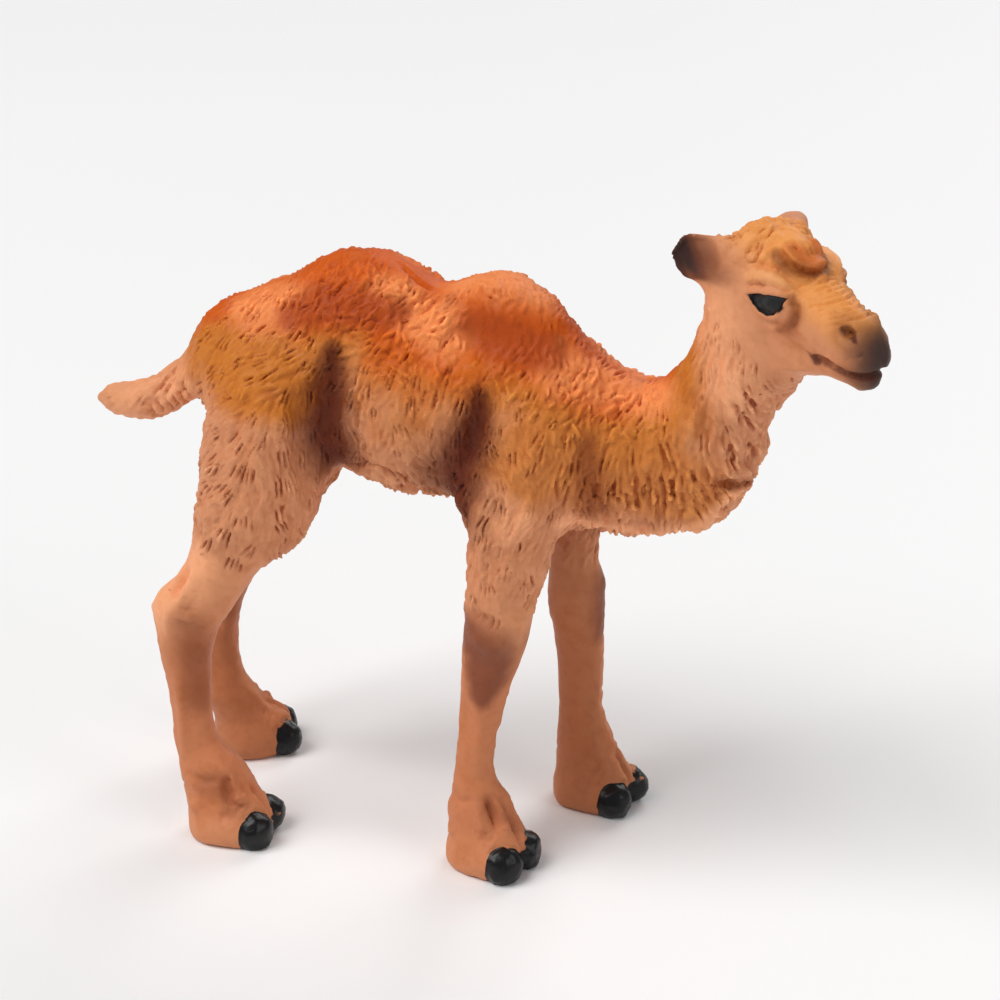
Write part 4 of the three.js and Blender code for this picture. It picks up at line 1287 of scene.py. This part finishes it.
# Painted highlight on the ridge of the brow.
store("brow_highlight", on_both(by_eye([(0.0, 1.8), (0.4, 2.4), (0.9, 1.7)], (0.9, 1.4, 1.0))))
store("tear", on_both(by_eye([(1.14, 0.1), (1.22, -1.2), (1.05, -2.6), (0.7, -3.6)], (1.0, 1.5, 1.4, 1.2))))
store("ear_root", on_both([(-3.0, 5.6, 3.2, 2.6), (-0.8, 4.4, 2.6, 2.4)]))
store("pupil", on_both([(5.6, 4.4, 1.1, 1.1), (6.2, 4.2, 1.3, 0.9)]))
store("nostril", on_both([(13.6, 2.2, 0.9, 0.8), (14.3, 2.1, 0.8, 0.9), (14.9, 2.0, 0.4, 0.6)]))
mouth_corner = [(10.0, 2.3, -3.8, 0.8), (10.9, 2.3, -3.4, 1.1), (12.4, 2.2, -3.5, 0.8)]
store("mouth", on_both([(*place, 0.95) for place in MOUTH], mouth_corner))
store("nail", np.max([nail_depth(foot) for foot in FEET], axis=0) + 0.2)
print("head and nails done")

# %% [markdown]
# A wash and painted shade settle in the creases, and a dry brush and painted highlights catch the ridges, so
# the paint needs to know how the skin bends at each point. The change of height from a point to its
# neighbours, over the square of their distance, gives that. The hair's direction is stored too, for the fine
# streaks in the paint.


# %% Creases and ridges
def curvature():
    """How hollow the skin is at each point, in 1/mm: above 0 in a crease, below 0 on a ridge."""
    mesh = calf.data
    ends = np.empty(len(mesh.edges) * 2, np.int32)
    mesh.edges.foreach_get("vertices", ends)
    a, b = ends.reshape(-1, 2).T
    line = skin[b] - skin[a]
    square = np.maximum((line**2).sum(1), 1e-6)
    total = np.bincount(a, (line * normals[a]).sum(1) / square, len(skin))
    total -= np.bincount(b, (line * normals[b]).sum(1) / square, len(skin))
    count = np.bincount(ends, minlength=len(skin))
    bend = np.clip(2 * total / np.maximum(count, 1), -6, 6)
    spread = np.bincount(a, bend[b], len(skin)) + np.bincount(b, bend[a], len(skin))
    return 0.5 * bend + 0.5 * spread / np.maximum(count, 1)


bend = curvature()
store("bend", bend)
print("curvature: 5 to 95 percent of the skin lies between", np.percentile(bend, (5, 95)).round(2), "per mm")
new_flow = combed(skin, normals)[0]
layer = calf.data.attributes.new("flow", "FLOAT_VECTOR", "POINT")
layer.data.foreach_set("vector", new_flow.astype(np.float32).ravel())

# %% [markdown]
# An ear is dark where its hollow opens to the tip and light at its root and on its rim, and its back darkens
# towards the tip. One number says so: the brown comes in first, and the black where the number is high.


# %% Shade of the ears
def ear_mask():
    """0 at an ear's root and on its rim, up to 1 at the outer end of its hollow and of its back."""
    best = np.zeros(len(skin))
    for side in (-1, 1):
        at = in_ear(side)
        inward = out_of_ear(side)
        bowl = 1 - ((at[:, 0] - 3.6) / 5.4) ** 2 - (at[:, 2] / 2.8) ** 2
        inner = smoothstep(-0.3, 0.6, bowl) * smoothstep(0.0, 0.5, inward)
        outer = smoothstep(4.6, 7.2, at[:, 0]) * smoothstep(0.3, -0.2, inward)
        here = (np.abs(at[:, 1]) < 3.2) & (at[:, 0] > -2) & (at[:, 0] < 10) & (np.abs(at[:, 2]) < 4.5)
        across = at[:, 0] - 0.9 * at[:, 2]
        shade = 0.46 * smoothstep(-2.0, 5.0, across) + 0.6 * smoothstep(3.4, 6.4, across)
        edge = smoothstep(5.4, 7.2, across) * smoothstep(0.0, 0.4, inward) * smoothstep(2.0, 4.0, at[:, 0])
        value = np.maximum(inner * shade, 0.85 * edge) + outer
        best[here] = np.maximum(best, np.clip(value, 0, 1))[here]
    return best


store("ear", ear_mask())
print("masks done")

# %% [markdown]
# ## Paint
#
# The plastic itself is a warm tan, slightly cloudy. The sprays lie over it one by one. Sprayed edges are
# never clean, so the cloud shifts each one a little. On the head the order is crown, brow, lock, ears, nose
# and muzzle, the darkest last.


# %% Body colour and sprays
HEAD_LAYERS = [  # number read, share of the cloud, where it starts and is full, strength, colour
    ("crown", 0.3, 0.0, 0.6, 0.85, (240, 157, 78)),
    # painted highlight on the ridge of the brow
    ("brow_highlight", 0.0, 0.0, 0.9, 0.5, (248, 176, 112)),
    ("lock", 0.0, 0.0, 0.8, 0.7, (196, 92, 36)),
    # painted shadow under the edge of the forelock
    ("lock_shadow", 0.0, 0.0, 0.9, 0.7, (120, 56, 24)),
    ("tear", 0.0, 0.0, 0.9, 0.75, (134, 66, 30)),
    ("ear_root", 0.0, 0.0, 1.0, 0.6, (130, 72, 46)),
    ("ear", 0.2, 0.0, 0.6, 0.9, (106, 54, 36)),
    ("ear", 0.3, 0.45, 1.0, 0.92, (48, 32, 30)),
    ("nose", 0.4, 0.0, 1.0, 0.7, (118, 66, 36)),
    ("muzzle", 0.4, 0.0, 0.85, 0.92, (52, 42, 42)),
]


def sprayed(tree):
    """The body colour under all the sprays."""
    cloud = tree.noise(0.25, detail=4.0) - 0.5
    paint = tree.mixed((cloud * 2.0 + 0.5).clamped(), colour(206, 134, 92), colour(230, 158, 114))
    for name, (tint, strength, low, high, _) in LAYERS.items():
        share = (tree.attribute(name) + cloud * 0.5).step(low, high)
        paint = tree.mixed(share * strength, paint, colour(*tint))
    # painted shade on the sides of the legs that face the body
    paint = tree.mixed(tree.attribute("inner") * 0.45, paint, colour(140, 76, 44))
    for name, cloudy, low, high, strength, tint in HEAD_LAYERS:
        share = (tree.attribute(name) + cloud * cloudy).step(low, high)
        paint = tree.mixed(share * strength, paint, colour(*tint))
    return paint


print(len(LAYERS) + len(HEAD_LAYERS) + 1, "sprays")

# %% [markdown]
# A thin dark wash is brushed over the whole figure and wiped off, so it stays in the cuts; it is also painted
# shade there, and a second brown is painted shade in the creases. Then a nearly dry brush with pale paint
# catches the ridges, with painted highlights on them and more on the sharpest ridges. Both multiply what lies
# below them, the wash by a brown and the brush by more than 1. Fine streaks along the hair keep either from
# ending in a clean line.


# %% Wash, painted shade and painted highlights
# the wash's brown, which is also painted shade in the cuts
DARKER = (196, 138, 104)
# how much the dry brush and the painted highlights brighten
LIGHTER = (1.35, 1.5, 1.55, 1.0)


def smeared_noise(tree, per_mm, length, steps=7):
    """Noise smeared along the hair, from about -0.5 to 0.5: the mean of samples taken along it."""
    at = tree.place()
    way = tree.node("ShaderNodeAttribute", {"attribute_name": "flow"}).outputs["Vector"]
    total = 0.0
    for k in range(steps):
        t = length * (k / (steps - 1) - 0.5)
        moved = tree.node("ShaderNodeVectorMath", {"operation": "MULTIPLY_ADD"}, way, (t, t, t), at)
        made = tree.node("ShaderNodeTexNoise", {}, Vector=moved.outputs[0], Scale=per_mm, Detail=1.0)
        total = Value(tree, made.outputs["Fac"]) + total
    return (total * (1 / steps) - 0.5) * 2.5


def washed_with_painted_light(tree, paint, hair):
    """Paint darkened in the cuts and creases by the wash and painted shade, and lightened on the ridges by
    the dry brush and painted highlights.
    """
    relief = tree.attribute("relief")
    bend = tree.attribute("bend")
    # The wash in the cuts, partly the toy's own brown wash and partly painted shade.
    wash_and_shade = (relief + hair * 0.08).step(0.02, -0.32)
    paint = tree.mixed(wash_and_shade * 0.7, paint, colour(*DARKER), blend="MULTIPLY")
    mottle = (tree.noise(0.9, detail=3.0) - 0.45).step(0.0, 0.25)
    paint = tree.mixed(mottle * 0.15, paint, colour(206, 160, 136), blend="MULTIPLY")
    # Painted shade: darker where the skin bends into a crease.
    paint = tree.mixed(bend.step(0.5, 3.5) * 0.55, paint, colour(176, 108, 76), blend="MULTIPLY")
    # The dry brush on the ridges, partly pale paint and partly painted highlight.
    drybrush_and_highlight = (relief + hair * 0.12).step(0.02, 0.26)
    paint = tree.mixed(drybrush_and_highlight * 0.8, paint, LIGHTER, blend="MULTIPLY")
    # Painted highlight on the sharpest ridges.
    return tree.mixed((bend * -1.0).step(0.8, 4.5) * 0.6, paint, (1.3, 1.45, 1.5, 1.0), blend="MULTIPLY")


print("wash_and_shade", DARKER, "dry brush", LIGHTER)

# %% [markdown]
# Last come the small brush and the gloss: the mouth line and the nostrils in brown, the nails and the eyes in
# black that shines, and a dark teal ring in the eye around its pupil, part iris and part painted reflection.
# Bare paint on soft plastic is dull, and the brush leaves a fine grain in it, so a faint bump runs along the
# hair.


# %% Painted plastic
DETAILS = [  # number read, where it starts and is full, strength, colour
    ("mouth", 0.1, 0.6, 0.85, (92, 40, 30)),
    ("nostril", 0.1, 0.6, 0.9, (88, 38, 26)),
    ("nail", -0.03, 0.03, 1.0, (14, 14, 17)),
    ("eye", -0.03, 0.03, 1.0, (12, 12, 14)),
    # a dark teal ring, part iris and part painted reflection of the gloss
    ("eye", 0.25, 0.5, 1.0, (26, 38, 38)),
    ("pupil", 0.1, 0.4, 1.0, (8, 8, 10)),
]


def painted_plastic():
    """The whole finish as one material."""
    material = bpy.data.materials.new("painted_plastic")
    tree = Tree(material)
    hair = smeared_noise(tree, 2.6, 2.2)
    paint = washed_with_painted_light(tree, sprayed(tree), hair)
    for name, low, high, strength, tint in DETAILS:
        paint = tree.mixed(tree.attribute(name).step(low, high) * strength, paint, colour(*tint))
    tree.plug(tree.shader.inputs["Base Color"], paint)
    speckle = tree.noise(2.2, detail=2.0) - 0.5
    glossy = tree.attribute("eye").step(-0.02, 0.02) + tree.attribute("nail").step(-0.02, 0.02)
    tree.plug(tree.shader.inputs["Roughness"], (0.5 + speckle * 0.2 - glossy * 0.15).clamped())
    tree.plug(tree.shader.inputs["Coat Weight"], (glossy * 0.25).clamped())
    tree.shader.inputs["Coat Roughness"].default_value = 0.2
    tree.shader.inputs["Specular IOR Level"].default_value = 0.18
    grit = tree.noise(5.0, detail=3.0) * 0.05 + hair * tree.attribute("coat") * 0.12
    bump = tree.node("ShaderNodeBump", {}, Strength=0.8, Distance=MM, Height=grit)
    tree.plug(tree.shader.inputs["Normal"], bump.outputs[0])
    return material


calf.data.materials.clear()
calf.data.materials.append(painted_plastic())
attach(calf, "root")
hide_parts("camel_calf")
print(calf.name, "wears", calf.data.materials[0].name)
